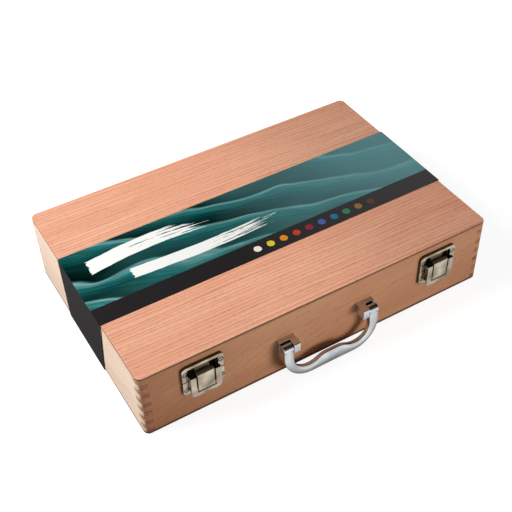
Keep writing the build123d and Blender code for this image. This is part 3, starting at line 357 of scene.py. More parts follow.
def printedCard(name, art):
    # offset print on laminated card: flat charcoal, and on the top a sheet of broad brushed waves;
    # the low IOR holds back its sheen, because the real print stays deep and dark
    made, tree, shader = blank(name, Roughness=0.45, IOR=1.06)
    place, source = millimetres(tree)
    x, y, z = put(tree, "SeparateXYZ", place).outputs
    speck = stretched(tree, place, (0.8, 0.8, 0.8), 2.0, 0.7)
    charcoal = mottled(tree, speck, art["charcoal"], art["charcoalLight"])
    # painted sheen: the charcoal grows lighter towards the right end
    rightward = put(tree, "Math MULTIPLY_ADD", x, 1 / case["length"], 0.5)
    rightward = put(tree, "ValToRGB", rightward, stops=[(0.40, 0.0), (0.96, 1.0)])
    charcoal = put(tree, "Mix", rightward, charcoal, colour(art["charcoalSheen"]))
    # broad wave strokes that fall from left to right, each shaded from its crest to its trough
    swell = stretched(tree, place, (150, 62, 1000), 1.0, shift=(2.3, 0.7, 0))
    ripple = stretched(tree, place, (46, 20, 1000), 1.0, shift=(0.4, 5.1, 0))
    fall = put(tree, "Math MULTIPLY_ADD", x, art["slant"], y)
    fall = put(tree, "Math MULTIPLY_ADD", swell, art["swell"], fall)
    fall = put(tree, "Math MULTIPLY_ADD", ripple, art["ripple"], fall)
    phase = put(tree, "Math FRACT", put(tree, "Math DIVIDE", fall, art["pitch"]))
    folds = put(tree, "ValToRGB", phase, stops=art["folds"])
    lengthwise = put(tree, "Math MULTIPLY", x, 0.018)
    lengthwise = put(tree, "CombineXYZ", lengthwise, put(tree, "Math MULTIPLY", fall, 0.34), 0.0)
    bristle = put(tree, "TexNoise", {"Vector": lengthwise, "Scale": 1.0, "Detail": 3.0, "Roughness": 0.6})
    streaks = put(tree, "ValToRGB", bristle, stops=[(0.28, "#0A0A0A"), (0.5, "#808080"), (0.74, "#F0F0F0")])
    painted = put(tree, "Mix OVERLAY", art["streakDepth"], folds, streaks)
    patch = stretched(tree, place, (120, 55, 1000), 2.0, shift=(7, 3, 0))
    patch = put(tree, "ValToRGB", patch, stops=[(0.32, 0.0), (0.70, 1.0)])
    pale = put(tree, "Mix", put(tree, "Math MULTIPLY", patch, 0.55), painted, colour(art["pale"]))
    painted = put(tree, "Mix", 0.5, painted, pale)
    # painted sheen: the artwork, too, turns paler and greyer towards the right end
    sheenMisted = put(tree, "Mix SOFT_LIGHT", 0.45, colour(art["sheenMist"]), painted)
    painted = put(tree, "Mix", put(tree, "Math MULTIPLY", rightward, 0.85), painted, sheenMisted)
    for stroke in art["strokes"]:
        painted = put(tree, "Mix", dryStroke(tree, x, y, stroke), painted, colour(art["white"]))
    # the stripe along the front edge, and the sides, stay charcoal
    inArt = put(tree, "Math GREATER_THAN", y, art["stripeY"])
    onTop = put(tree, "Math GREATER_THAN", z, art["topZ"])
    shade = put(tree, "Mix", put(tree, "Math MULTIPLY", inArt, onTop), charcoal, painted)
    # a row of plain round dabs stands in the stripe
    cell = put(tree, "Math DIVIDE", put(tree, "Math SUBTRACT", x, art["dabStart"]), art["dabPitch"])
    fromX = put(tree, "Math SUBTRACT", put(tree, "Math FRACT", cell), 0.5)
    fromX = put(tree, "Math MULTIPLY", fromX, art["dabPitch"])
    far = apart(tree, fromX, put(tree, "Math SUBTRACT", y, art["dabY"]))
    wobble = stretched(tree, place, (3.0, 3.0, 3.0), 1.0)
    far = put(tree, "Math MULTIPLY_ADD", wobble, art["dabWobble"], far)
    dab = put(tree, "Math LESS_THAN", far, art["dabRadius"] + art["dabWobble"] / 2)
    inRow = put(tree, "Math GREATER_THAN", cell, 0.0)
    inRow = put(tree, "Math MULTIPLY", inRow, put(tree, "Math LESS_THAN", cell, art["dabs"]))
    dab = put(tree, "Math MULTIPLY", put(tree, "Math MULTIPLY", dab, inRow), onTop)
    ordinal = put(tree, "Math ADD", put(tree, "Math FLOOR", cell), 0.5)
    ordinal = put(tree, "Math DIVIDE", ordinal, art["dabs"])
    tones = [(n / art["dabs"], tone) for n, tone in enumerate(art["dabTones"])]
    shade = put(tree, "Mix", dab, shade, put(tree, "ValToRGB", ordinal, stops=tones, stepped=True))
    # the inner faces, which look towards the middle of the case, are bare greyboard, a little fibrous
    facing = put(tree, "SeparateXYZ", source.outputs["Normal"]).outputs
    inX = put(tree, "Math LESS_THAN", put(tree, "Math MULTIPLY", facing[0], x), -20.0)
    inZ = put(tree, "Math MULTIPLY", facing[2], put(tree, "Math SUBTRACT", z, case["middleZ"]))
    inZ = put(tree, "Math LESS_THAN", inZ, -5.0)
    bare = mottled(tree, speck, art["board"], art["boardFleck"])
    shade = put(tree, "Mix", put(tree, "Math MAXIMUM", inX, inZ), shade, bare)
    ridge = put(tree, "Math MULTIPLY", put(tree, "Math MULTIPLY", bristle, inArt), onTop)
    surface(tree, shader, shade, ridge, 0.5, 0.25)
    return made


bandPrint = printedCard("laminatedCardPrinted", {
    "charcoal": "#232021", "charcoalLight": "#292627", "charcoalSheen": "#434141", "board": "#C9C3B8",
    "boardFleck": "#B7B0A4", "sheenMist": "#7BA3A7", "white": "#EFEFEC", "pale": "#3E8483",
    "strokes": [((-180.0, -36.0), 23.0, 11.5, 6.0, 3.0), ((-146.0, 40.0), -6.0, 8.5, -4.0, 8.0)],
    "slant": 0.26, "swell": 58.0, "ripple": 10.0, "pitch": 39.0, "streakDepth": 0.62,
    "folds": [(0.0, "#010B0A"), (0.12, "#031F1D"), (0.32, "#063A39"), (0.58, "#0F5655"), (0.80, "#2F7C7B"),
              (0.93, "#7FB0AF"), (0.965, "#1E605F"), (1.0, "#021413")],
    "stripeY": -31.2, "topZ": case["topZ"] + 0.2,
    "dabStart": -30.0, "dabPitch": 15.5, "dabY": -42.3, "dabRadius": 4.2, "dabWobble": 1.1, "dabs": 10,
    "dabTones": ["#E9E6DC", "#D9C23C", "#D98A2B", "#B8402F", "#8E2A3E", "#4A5FA0", "#2A6E93", "#3C7B56",
                 "#8A6A3C", "#5B4438"],
})


def plasticFinish(name, tone, tone2, roughness):
    # injection-moulded polypropylene: even colour with a faint flow mottle
    made, tree, shader = blank(name, Roughness=roughness)
    flow = stretched(tree, millimetres(tree)[0], (4.0, 4.0, 4.0), 2.0)
    surface(tree, shader, mottled(tree, flow, tone, tone2), flow, 0.02, 0.15)
    return made


capPlastic = plasticFinish("polypropyleneCapMoulded", "#EDEBE6", "#E2DFD8", 0.34)
blackPlastic = plasticFinish("polypropyleneCapBlackMoulded", "#1E1D1E", "#262425", 0.38)


def glassFinish(name, tone, ior, roughness, clear=1.0):
    # clear soda-lime glass or a clear oil: smooth and see-through, with a light tint
    made, _, shader = blank(name, Roughness=roughness, IOR=ior, Transmission_Weight=clear)
    shader.inputs["Base Color"].default_value = colour(tone)
    return made


bottleGlass = glassFinish("sodaLimeGlassBlown", "#F1F6F1", 1.5, 0.03)
mediumOil = glassFinish("linseedOilClear", "#EBC873", 1.47, 0.0, clear=0.86)
tubes = {"count": 10, "pitch": 37.5, "z": 17.52}


def tubeFinish(name, look):
    # aluminium tube, white enamel with a band of the paint's colour; bare metal at the shoulder and the fold
    made, tree, shader = blank(name)
    place, _ = millimetres(tree)
    x, y, _ = put(tree, "SeparateXYZ", place).outputs
    ordinal = put(tree, "Math MULTIPLY_ADD", x, 1 / tubes["pitch"], tubes["count"] / 2)
    share = put(tree, "Math ADD", put(tree, "Math FLOOR", ordinal), 0.5)
    share = put(tree, "Math DIVIDE", share, tubes["count"])
    paints = [(n / tubes["count"], tone) for n, tone in enumerate(look["paints"])]
    paint = put(tree, "ValToRGB", share, stops=paints, stepped=True)
    enamel = colour(look["white"])
    for middle, half in look["bands"]:  # a broad band and thin rules in the paint's colour
        enamel = put(tree, "Mix", near(tree, y, middle, half), enamel, paint)
    painted = put(tree, "Math GREATER_THAN", y, look["enamel"][0])
    painted = put(tree, "Math MULTIPLY", painted, put(tree, "Math LESS_THAN", y, look["enamel"][1]))
    rub = stretched(tree, place, (2.0, 5.0, 2.0), 3.0, 0.65)
    rub = put(tree, "ValToRGB", rub, stops=[(0.70, 0.0), (0.76, 1.0)])
    painted = put(tree, "Math MULTIPLY", painted, put(tree, "Math MULTIPLY_ADD", rub, -0.35, 1.0))
    feed(shader.inputs["Metallic"], put(tree, "Math SUBTRACT", 1.0, painted))
    dent = stretched(tree, place, (7.0, 16.0, 7.0), 2.0)
    feed(shader.inputs["Roughness"], put(tree, "Math MULTIPLY_ADD", dent, 0.12, 0.26))
    surface(tree, shader, put(tree, "Mix", painted, colour(look["metal"]), enamel), dent, 0.6, 0.35)
    return made


tubeEnamel = tubeFinish("aluminiumTubeEnamelled", {
    "white": "#E9E6DE", "metal": "#C9CACB", "enamel": (2.2, 100.6),
    "bands": [(11.0, 8.6), (24.5, 0.5), (92.0, 0.7), (95.0, 0.35)],
    "paints": ["#F2F0EA", "#E8D44A", "#E0A02C", "#CF4A2C", "#8F1F33", "#2C3F8F", "#1F6A97", "#2C6E4E",
               "#8A5A2B", "#2B2826"]})


def paperFinish(name, look):
    # uncoated label paper with a printed band, no words
    made, tree, shader = blank(name, Roughness=0.7)
    place, _ = millimetres(tree)
    x = put(tree, "SeparateXYZ", place)
    fibre = stretched(tree, place, (0.9, 0.9, 0.9), 3.0, 0.6)
    ground = mottled(tree, fibre, look["paper"], look["paper2"])
    for middle, half, tone in look["bands"]:
        ground = put(tree, "Mix", near(tree, x, middle, half), ground, colour(tone))
    surface(tree, shader, ground, fibre, 0.03, 0.3)
    return made


labelPaper = paperFinish("labelPaperPrinted", {
    "paper": "#EFEAE0", "paper2": "#E6E0D4",
    "bands": [(-167.0, 4.5, "#1F4F50"), (-160.5, 0.5, "#1F4F50"), (-135.0, 1.2, "#8C8A86")]})


def lacquerFinish(name, look):
    # dipped lacquer on a turned handle: deep gloss, a pale dipped tip and faint grain under the colour
    made, tree, shader = blank(name, Roughness=0.22, Coat_Weight=0.6, Coat_Roughness=0.08)
    place, _ = millimetres(tree)
    grained = stretched(tree, place, (24, 1.0, 1.0), 2.0)
    body = put(tree, "Mix", grained, colour(look["tone"]), colour(look["tone2"]))
    share = put(tree, "Math MULTIPLY_ADD", put(tree, "SeparateXYZ", place), 1 / look["span"], 1.0)
    tip = put(tree, "ValToRGB", share, stops=[(look["tipShare"], 1.0), (look["tipShare"] + 0.004, 0.0)])
    surface(tree, shader, put(tree, "Mix", tip, body, colour(look["tip"])), grained, 0.05, 0.2)
    return made


handleLacquer = lacquerFinish("birchHandleLacquered", {
    "tone": "#3A1712", "tone2": "#521F17", "tip": "#E2D9C6", "tipShare": 0.60, "span": 100})
brush = {"rows": (-107.2, -78.6, -50.0), "z": 19.02, "ferruleX": 98.0, "ferruleLength": 30.0,
         "ferruleRadius": 3.4, "ferruleWidens": 1.1, "ferruleFlattens": 1.4, "bristleX": 128.0,
         "bristleLength": 24.0, "hairs": 110}


def hairFinish(name, look):
    # hog bristle: cream at the root, darker strands, pale towards the split tips
    made, tree, shader = blank(name, Roughness=0.42)
    place, _ = millimetres(tree)
    strand = stretched(tree, place, (30, 0.35, 0.35), 2.0, 0.6)
    root, length = brush["bristleX"], brush["bristleLength"]
    share = put(tree, "Math MULTIPLY_ADD", put(tree, "SeparateXYZ", place), 1 / length, -root / length)
    tones = [(0.0, look["root"]), (0.7, look["middle"]), (1.0, look["tip"])]
    tone = put(tree, "ValToRGB", share, stops=tones)
    dark = put(tree, "ValToRGB", strand, stops=[(0.35, 0.0), (0.7, 0.7)])
    surface(tree, shader, put(tree, "Mix", dark, tone, colour(look["shade"])), strand, 0.1, 0.4)
    return made


hogHair = hairFinish("hogBristleDrawn", {
    "root": "#D9C39A", "middle": "#E6D7B4", "tip": "#F0E7CF", "shade": "#A88A5C"})
print("finishes made")

finishOf = {
    "top_panel": veneer, "bottom_panel": panelUnder, "long_divider": innerBeech,
    "cross_divider": crossBeech, "tube_rack": innerBeech, "fold_bar": innerBeech,
    "brush_rest_tail": crossBeech, "brush_rest_grip": crossBeech, "palette": paletteWood,
    "hinge_pins": zinc, "base_hinge_screws": brass, "lid_hinge_screws": brass, "lever_rivets": nickel,
    "latch_plate_screws": zinc, "keeper_screws": zinc, "handle_bow": chrome, "handle_pins": chrome,
    "bracket_screws": zinc, "sleeve_upper": bandPrint, "sleeve_bottom": bandPrint,
    "button_screws": brass, "tube_caps": capPlastic, "paint_tubes": tubeEnamel,
    "brush_handles": handleLacquer, "brush_ferrules": ferruleNickel, "brush_bristles": hogHair,
}
for side in ("left", "right"):
    finishOf |= {
        f"palette_rail_{side}": crossBeech, f"base_hinge_leaf_{side}": brass, f"lid_hinge_leaf_{side}": brass,
        f"latch_plate_{side}": nickelPlate, f"keeper_{side}": nickelKeeper, f"lever_{side}": nickel,
        f"claw_{side}": nickelClaw, f"claw_pin_{side}": nickel, f"handle_bracket_{side}": chrome,
        f"sleeve_side_{side}": bandPrint, f"turn_button_{side}": brass}
for place in ("front", "rear"):
    finishOf |= {f"bottle_{place}": bottleGlass, f"bottle_cap_{place}": blackPlastic}
for level in ("base", "lid"):
    finishOf |= {f"{level}_{place}_board": frontBeech for place in ("front", "back")}
    finishOf |= {f"{level}_{place}_board": endBeech for place in ("left", "right")}
for node, finish in finishOf.items():
    shown = nodes[node]
    shown.data.materials.clear()
    shown.data.materials.append(finish)


# Pieces

def solidFrom(node):
    # a welded copy of a node's mesh, with flat areas merged so that a bevel runs clean
    shape = bmesh.new()
    shape.from_mesh(nodes[node].data)
    bmesh.ops.remove_doubles(shape, verts=shape.verts, dist=2e-6)
    bmesh.ops.dissolve_limit(shape, angle_limit=math.radians(0.4), verts=shape.verts, edges=shape.edges,
                             delimit={"NORMAL"})
    return shape


def finished(name, shape, finish, body, stands=(), smooth=35.0, bevel=0.0, segments=2):
    # turns a bmesh into a piece that rides on its body
    mesh = bpy.data.meshes.new(name)
    shape.to_mesh(mesh)
    shape.free()
    for extra in ("custom_normal", "sharp_face"):
        if extra in mesh.attributes:
            mesh.attributes.remove(mesh.attributes[extra])
    piece = bpy.data.objects.new(name, mesh)
    scene.collection.objects.link(piece)
    mesh.shade_smooth()
    mesh.set_sharp_from_angle(angle=math.radians(smooth))
    mesh.materials.clear()
    mesh.materials.append(finish)
    if bevel:
        soften = piece.modifiers.new("softEdges", "BEVEL")
        soften.width = bevel * mm
        soften.segments = segments
        soften.limit_method = "ANGLE"
        soften.angle_limit = math.radians(38)
        soften.harden_normals = True
    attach(piece, body)
    if stands:
        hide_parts(*stands)
    return piece


# Eased edges on the pressed, cast and sawn pieces: piece, node, body if it isn't the node's own, slot,
# and the width of the easing in millimetres
easedPairs = (
    ("latchKeeper", "keeper", "lid", "latch_nickel", 0.16),
    ("latchPlate", "latch_plate", "case", "latch_nickel", 0.16),
    ("latchLever", "lever", None, "latch_nickel", 0.4), ("latchClaw", "claw", None, "latch_nickel", 0.2),
    ("handleBracket", "handle_bracket", "case", "handle_chrome", 0.35),
    ("turnButton", "turn_button", None, "hinge_brass", 0.3))
eased = [(f"{piece}_{side}", f"{node}_{side}", body or f"{node}_{side}", slot, width)
         for piece, node, body, slot, width in easedPairs for side in ("left", "right")]
eased.append(("paletteBoard", "palette", "lid", "palette_wood", 0.9))
for level, body in (("base", "case"), ("lid", "lid")):
    for place in ("front", "back", "left", "right"):
        node = f"{level}_{place}_board"
        eased.append((f"{level}{place.capitalize()}Board", node, body, "board_wood", 0.16))
for piece, node, body, slot, width in eased:
    steps = 3 if width > 0.5 else 2
    finished(piece, solidFrom(node), finishOf[node], body, (node,), bevel=width, segments=steps)
print("edges eased")


# Shapes that Geometry Nodes grow on points: screws, rivets, caps, tubes, bottles, ferrules, bristles

def growTree(name, sizes, counts=("Seed",)):
    # an empty tree with the points, the finish and the named sizes as its inputs
    tree = bpy.data.node_groups.new(name, "GeometryNodeTree")
    tree.interface.new_socket("Geometry", in_out="INPUT", socket_type="NodeSocketGeometry")
    tree.interface.new_socket("Finish", in_out="INPUT", socket_type="NodeSocketMaterial")
    for label in sizes:
        tree.interface.new_socket(label, in_out="INPUT", socket_type="NodeSocketFloat")
    for label in counts:
        tree.interface.new_socket(label, in_out="INPUT", socket_type="NodeSocketInt")
    tree.interface.new_socket("Geometry", in_out="OUTPUT", socket_type="NodeSocketGeometry")
    start = put(tree, "NodeGroupInput")
    return tree, {label: start.outputs[label] for label in ["Geometry", "Finish", *sizes, *counts]}


def turned(tree, stations, segments, ribs=0, ribDepth=0.0):
    # rings of (half width, half depth, place along the axis, rib share), closed where a ring is a point
    count = len(stations)
    size = {"Size X": 1.0, "Size Y": 1.0, "Vertices X": segments + 1, "Vertices Y": count}
    grid = put(tree, "GeometryNodeMeshGrid", size)
    index = put(tree, "GeometryNodeInputIndex")
    ring = put(tree, "Math FLOORED_MODULO", index, count)
    lap = put(tree, "Math FLOOR", put(tree, "Math DIVIDE", put(tree, "Math ADD", index, 0.5), count))
    angle = put(tree, "Math MULTIPLY", lap, 2 * math.pi / segments)
    chosen = []
    for n, column in enumerate(zip(*stations)):
        if n < 3:  # plain numbers are millimetres, sockets carry their own size
            column = [value * mm if isinstance(value, (int, float)) else value for value in column]
        chosen.append(put(tree, "GeometryNodeIndexSwitch", ring, *column, data_type="FLOAT"))
    wide, deep, along = chosen[:3]
    if ribs:
        share = chosen[3]
        wave = put(tree, "Math COSINE", put(tree, "Math MULTIPLY", angle, ribs))
        wave = put(tree, "Math MULTIPLY_ADD", wave, 0.5, -0.5)
        cut = put(tree, "Math MULTIPLY", put(tree, "Math MULTIPLY", wave, share), ribDepth)
        wide, deep = put(tree, "Math ADD", wide, cut), put(tree, "Math ADD", deep, cut)
    x = put(tree, "Math MULTIPLY", wide, put(tree, "Math COSINE", angle))
    y = put(tree, "Math MULTIPLY", deep, put(tree, "Math SINE", angle))
    place = put(tree, "CombineXYZ", x, y, along)
    moved = put(tree, "GeometryNodeSetPosition", {"Geometry": grid, "Position": place})
    return put(tree, "GeometryNodeMergeByDistance", {"Geometry": moved, "Distance": 2e-6})


def standOnPoints(tree, start, shape, spin=0.0):
    # one copy on each point, its axis turned to where the point faces, then made real and given its finish
    facing = put(tree, "GeometryNodeInputNamedAttribute", {"Name": "facing"}, data_type="FLOAT_VECTOR")
    upright = put(tree, "FunctionNodeAlignRotationToVector", {"Vector": facing}, axis="Z")
    chance = put(tree, "FunctionNodeRandomValue", {3: spin, 8: start["Seed"]}, data_type="FLOAT")
    turn = {"Rotation": upright, "Rotate By": put(tree, "CombineXYZ", {2: chance})}
    stand = put(tree, "FunctionNodeRotateRotation", turn, rotation_space="LOCAL")
    spread = {"Points": start["Geometry"], "Instance": shape, "Rotation": stand}
    copies = put(tree, "GeometryNodeInstanceOnPoints", spread)
    real = put(tree, "GeometryNodeRealizeInstances", {"Geometry": copies})
    painted = put(tree, "GeometryNodeSetMaterial", {"Geometry": real, "Material": start["Finish"]})
    put(tree, "NodeGroupOutput", {0: painted})
    return tree


def grown(name, tree, sizes, spots, finish, body, stands=(), smooth=35.0):
    # grows a tree on (place, facing) points in millimetres and keeps the result as one plain mesh
    dots = bpy.data.meshes.new(name + "Spots")
    dots.from_pydata([[v * mm for v in place] for place, _ in spots], [], [])
    facing = dots.attributes.new("facing", "FLOAT_VECTOR", "POINT")
    for item, (_, heading) in zip(facing.data, spots):
        item.vector = heading
    holder = bpy.data.objects.new(name + "Spots", dots)
    scene.collection.objects.link(holder)
    growth = holder.modifiers.new("growth", "NODES")
    growth.node_group = tree
    for item in tree.interface.items_tree:
        if item.in_out == "INPUT" and item.name == "Finish":
            growth[item.identifier] = finish
        elif item.in_out == "INPUT" and item.name in sizes:
            growth[item.identifier] = sizes[item.name] * (mm if item.socket_type == "NodeSocketFloat" else 1)
    shaped = bpy.data.meshes.new_from_object(holder.evaluated_get(bpy.context.evaluated_depsgraph_get()))
    holder.modifiers.remove(growth)
    bpy.data.objects.remove(holder)
    shape = bmesh.new()
    shape.from_mesh(shaped)
    bpy.data.meshes.remove(shaped)
    bmesh.ops.recalc_face_normals(shape, faces=shape.faces)
    return finished(name, shape, finish, body, stands, smooth)


def screwTree():
    # head with a crossed recess, shank with a point
    tree, start = growTree("crossScrew", ["Head Radius", "Crown", "Rim", "Under", "Shank Radius", "Length",
                                          "Recess Width", "Recess Depth"])
    radius, crown, rim, shank = (start[label] for label in ("Head Radius", "Crown", "Rim", "Shank Radius"))
    rings = [(0, 0, crown)]
    for share, height in ((0.45, 0.9), (0.7, 0.5)):
        wide = put(tree, "Math MULTIPLY", radius, share)
        low = put(tree, "Math MULTIPLY", rim, 1 - height)
        rings.append((wide, wide, put(tree, "Math MULTIPLY_ADD", crown, height, low)))
    end = put(tree, "Math MULTIPLY", start["Length"], -1.0)
    taper = put(tree, "Math MULTIPLY_ADD", shank, 2.0, end)
    rings += [(radius, radius, rim), (radius, radius, put(tree, "Math MINIMUM", 0.0, rim)),
              (shank, shank, start["Under"]), (shank, shank, taper), (0, 0, end)]
    body = turned(tree, rings, 28)
    x, y, _ = put(tree, "SeparateXYZ", put(tree, "GeometryNodeInputPosition")).outputs
    # the cross and the outer ring of the head are marked for painted shade
    outer = put(tree, "Math GREATER_THAN", apart(tree, x, y), put(tree, "Math MULTIPLY", radius, 0.7))
    mark = {"Geometry": body, "Name": "recess", "Value": outer}
    body = put(tree, "GeometryNodeStoreNamedAttribute", mark, data_type="FLOAT", domain="FACE")
    depth = put(tree, "Math MULTIPLY", start["Recess Depth"], 2.0)
    size = put(tree, "CombineXYZ", put(tree, "Math MULTIPLY", radius, 0.95), start["Recess Width"], depth)
    mark = {"Geometry": put(tree, "GeometryNodeMeshCube", {"Size": size}), "Name": "recess", "Value": 1.0}
    bar = put(tree, "GeometryNodeStoreNamedAttribute", mark, data_type="FLOAT", domain="FACE")
    lift = put(tree, "CombineXYZ", {2: crown})
    bars = []
    for turn in (0.0, quarter):
        laid = {"Geometry": bar, "Translation": lift, "Rotation": (0.0, 0.0, turn)}
        bars.append(put(tree, "GeometryNodeTransform", laid))
    cross = {"Mesh 1": body, "Mesh 2": bars}
    cut = put(tree, "GeometryNodeMeshBoolean", cross, operation="DIFFERENCE", solver="EXACT")
    return standOnPoints(tree, start, cut, math.pi)


def rivetTree():
    # shank between two domed heads
    labels = ["Head Radius", "Head Height", "Shank Radius", "Grip"]
    tree, start = growTree("domedRivet", labels)
    radius, rise, shank, grip = (start[label] for label in labels)
    sunken = put(tree, "Math MULTIPLY", rise, -1.0)
    dome = ((0.5, 0.88), (0.85, 0.5), (1.0, 0.0))
    rings = [(0, 0, sunken)]
    for share, height in dome:
        wide = put(tree, "Math MULTIPLY", radius, share)
        rings.append((wide, wide, put(tree, "Math MULTIPLY", sunken, height)))
    rings += [(shank, shank, 0.0), (shank, shank, grip), (radius, radius, grip)]
    for share, height in dome[1::-1]:
        wide = put(tree, "Math MULTIPLY", radius, share)
        rings.append((wide, wide, put(tree, "Math MULTIPLY_ADD", rise, height, grip)))
    rings.append((0, 0, put(tree, "Math ADD", grip, rise)))
    return standOnPoints(tree, start, turned(tree, rings, 20))


crossScrew = screwTree()
flatHead = {"Head Radius": 2.35, "Crown": 0.3, "Rim": 0.04, "Under": -1.2, "Shank Radius": 1.25,
            "Length": 11.5, "Recess Width": 0.72, "Recess Depth": 0.85, "Seed": 3}
leafHead = flatHead | {"Head Radius": 1.9, "Crown": 0.0, "Rim": 0.0, "Under": -0.9, "Shank Radius": 1.0,
                       "Length": 8.0, "Recess Width": 0.5, "Recess Depth": 0.6}
panHead = flatHead | {"Head Radius": 3.0, "Crown": 1.8, "Rim": 0.7, "Under": 0.0, "Shank Radius": 1.5,
                      "Length": 13.0, "Recess Width": 0.8, "Recess Depth": 1.0}
buttonHead = panHead | {"Crown": 1.2, "Rim": 0.4, "Shank Radius": 1.4, "Length": 4.7, "Recess Depth": 0.7}
hinge = {"screwX": (-129.0, -107.0, 107.0, 129.0), "screwY": 127.5}
bracket = {"middle": 46.3, "screwAside": 4.75, "screwY": -121.48, "screwZ": 43.2}
button = {"x": 185.0, "screwZ": 71.93}
latchScrewX = [side * latch["middle"] + way * latch["screwAside"] for side in (-1, 1) for way in (-1, 1)]
keeperSpots, plateSpots = ([((x, latch["screwY"], latch["middleZ"] + rise), (0, -1, 0)) for x in latchScrewX]
                           for rise in (latch["screwRise"], -latch["screwRise"]))
leafSpots, lidLeafSpots = ([((x, hinge["screwY"], z), (0, 0, way)) for x in hinge["screwX"]]
                           for z, way in ((case["partZ"], 1), (case["lidZ"], -1)))
bracketScrewX = [side * bracket["middle"] + way * bracket["screwAside"] for side in (-1, 1) for way in (-1, 1)]
bracketSpots = [((x, bracket["screwY"], bracket["screwZ"]), (0, 1, 0)) for x in bracketScrewX]
buttonSpots = [((side * button["x"], 0.0, button["screwZ"]), (0, 0, -1)) for side in (-1, 1)]
screws = (
    ("keeperScrews", flatHead, keeperSpots, zinc, "lid", "keeper_screws"),
    ("latchPlateScrews", flatHead | {"Seed": 5}, plateSpots, zinc, "case", "latch_plate_screws"),
    ("baseHingeScrews", leafHead, leafSpots, brass, "case", "base_hinge_screws"),
    ("lidHingeScrews", leafHead | {"Seed": 7}, lidLeafSpots, brass, "lid", "lid_hinge_screws"),
    ("bracketScrews", panHead, bracketSpots, zinc, "case", "bracket_screws"),
    ("buttonScrews", buttonHead, buttonSpots, brass, "lid", "button_screws"))
for name, head, spots, finish, body, node in screws:
    slot = "hinge_brass" if finish is brass else "screw_steel"
    grown(name, crossScrew, head, spots, finish, body, (node,))
rivets = {"Head Radius": 1.4, "Head Height": 0.6, "Shank Radius": 0.8, "Grip": 2.17, "Seed": 1}
rivetSpots = [((middle + side * latch["rivetAside"], latch["rivetY"], latch["rivetZ"]), (side, 0, 0))
              for middle in (-latch["middle"], latch["middle"]) for side in (-1, 1)]
grown("leverRivets", rivetTree(), rivets, rivetSpots, nickel, "case", ("lever_rivets",))
print("screws and rivets grown")


# Latch windows: painted shade, a black sheet on the wood behind each, beside the keeper's tongue, that darkens
# the window as its shadow would
window = {"thick": 0.25, "edge": 0.08, "keeper": [(-14.6, -7.7, 0.5, 15.2), (7.7, 14.6, 0.5, 15.2)],
          "plate": [(-13.7, 13.7, -14.8, -0.4)]}
for part, body in (("keeper", "lid"), ("plate", "case")):
    for side, middle in (("left", -latch["middle"]), ("right", latch["middle"])):
        shadeSheet = bmesh.new()
        for start, end, low, high in window[part]:
            centre = Vector((middle + (start + end) / 2, case["frontY"] - window["thick"] / 2,
                             case["partZ"] + (low + high) / 2))
            size = Matrix.Diagonal(Vector((end - start, window["thick"], high - low, 1 / mm)) * mm)
            bmesh.ops.create_cube(shadeSheet, size=1.0, matrix=Matrix.Translation(centre * mm) @ size)
        finished(f"{part}ShadeSheet_{side}", shadeSheet, blackShadeFinish, body, bevel=window["edge"])


# Bow handle: a cast bar that swells and crowns at the grip, joined to its two eyes
bow = {"back": -1.0, "front": 5.0, "edge": 0.8, "crownLeg": 0.8, "crownGrip": 1.5, "tilt": 5.5,
       "pivot": (0.0, -141.5, 43.2), "stations": 44, "outerX": 55.3, "innerX": 44.8, "drop": 42.0,
       "cornerCentre": (24.3, -11.0), "cornerRadius": 31.0, "gripTop": -26.4,
       "innerBends": (((44.8, -14.0), (44.8, -24.32), (37.32, -31.8), (27.0, -31.8)),
                      ((27.0, -31.8), (16.5, -31.8), (16.5, -26.4), (6.0, -26.4))),
       "eyeSides": 64,
       "eye": ((44.8, 1.55), (44.8, 4.6), (45.2, 5.0), (54.9, 5.0), (55.3, 4.6), (55.3, 1.55))}


def alongPath(points, count):
    # evenly spaced points along a polyline
    reach = [0.0]
    for a, b in zip(points, points[1:]):
        reach.append(reach[-1] + (Vector(b) - Vector(a)).length)
    spaced, n = [], 0
    for step in range(count + 1):
        want = reach[-1] * step / count
        while n < len(points) - 2 and reach[n + 1] < want:
            n += 1
        share = (want - reach[n]) / max(reach[n + 1] - reach[n], 1e-9)
        spaced.append(Vector(points[n]).lerp(Vector(points[n + 1]), share))
    return spaced


def bend(a, b, c, d, steps=24):
    # points of a curve from a to d that leaves towards b and arrives from c
    points = []
    for t in (n / steps for n in range(steps + 1)):
        points.append(tuple(a[k] * (1 - t) ** 3 + 3 * b[k] * t * (1 - t) ** 2 + 3 * c[k] * t * t * (1 - t)
                            + d[k] * t ** 3 for k in (0, 1)))
    return points


def roundCorner(x, y, radius, first):
    # a quarter turn round a centre, from the first angle
    angles = [math.radians(first + turn) for turn in (0, 22.5, 45, 67.5, 90)]
    return [(x + radius * math.cos(angle), y + radius * math.sin(angle)) for angle in angles]


def bowSection(width, crown):
    # ring of (across, outwards), flat behind and crowned in front
    edge, low, high = bow["edge"], bow["back"], bow["front"] - crown
    ring = roundCorner(edge, low + edge, edge, 180) + roundCorner(width - edge, low + edge, edge, 270)
    ring += roundCorner(width - edge, high - edge, edge, 0)
    for n in range(1, 12):
        across = (width - edge) + (2 * edge - width) * n / 12
        ring.append((across, high + crown * (1 - ((across - width / 2) / (width / 2 - edge)) ** 2)))
    return ring + roundCorner(edge, high - edge, edge, 90)


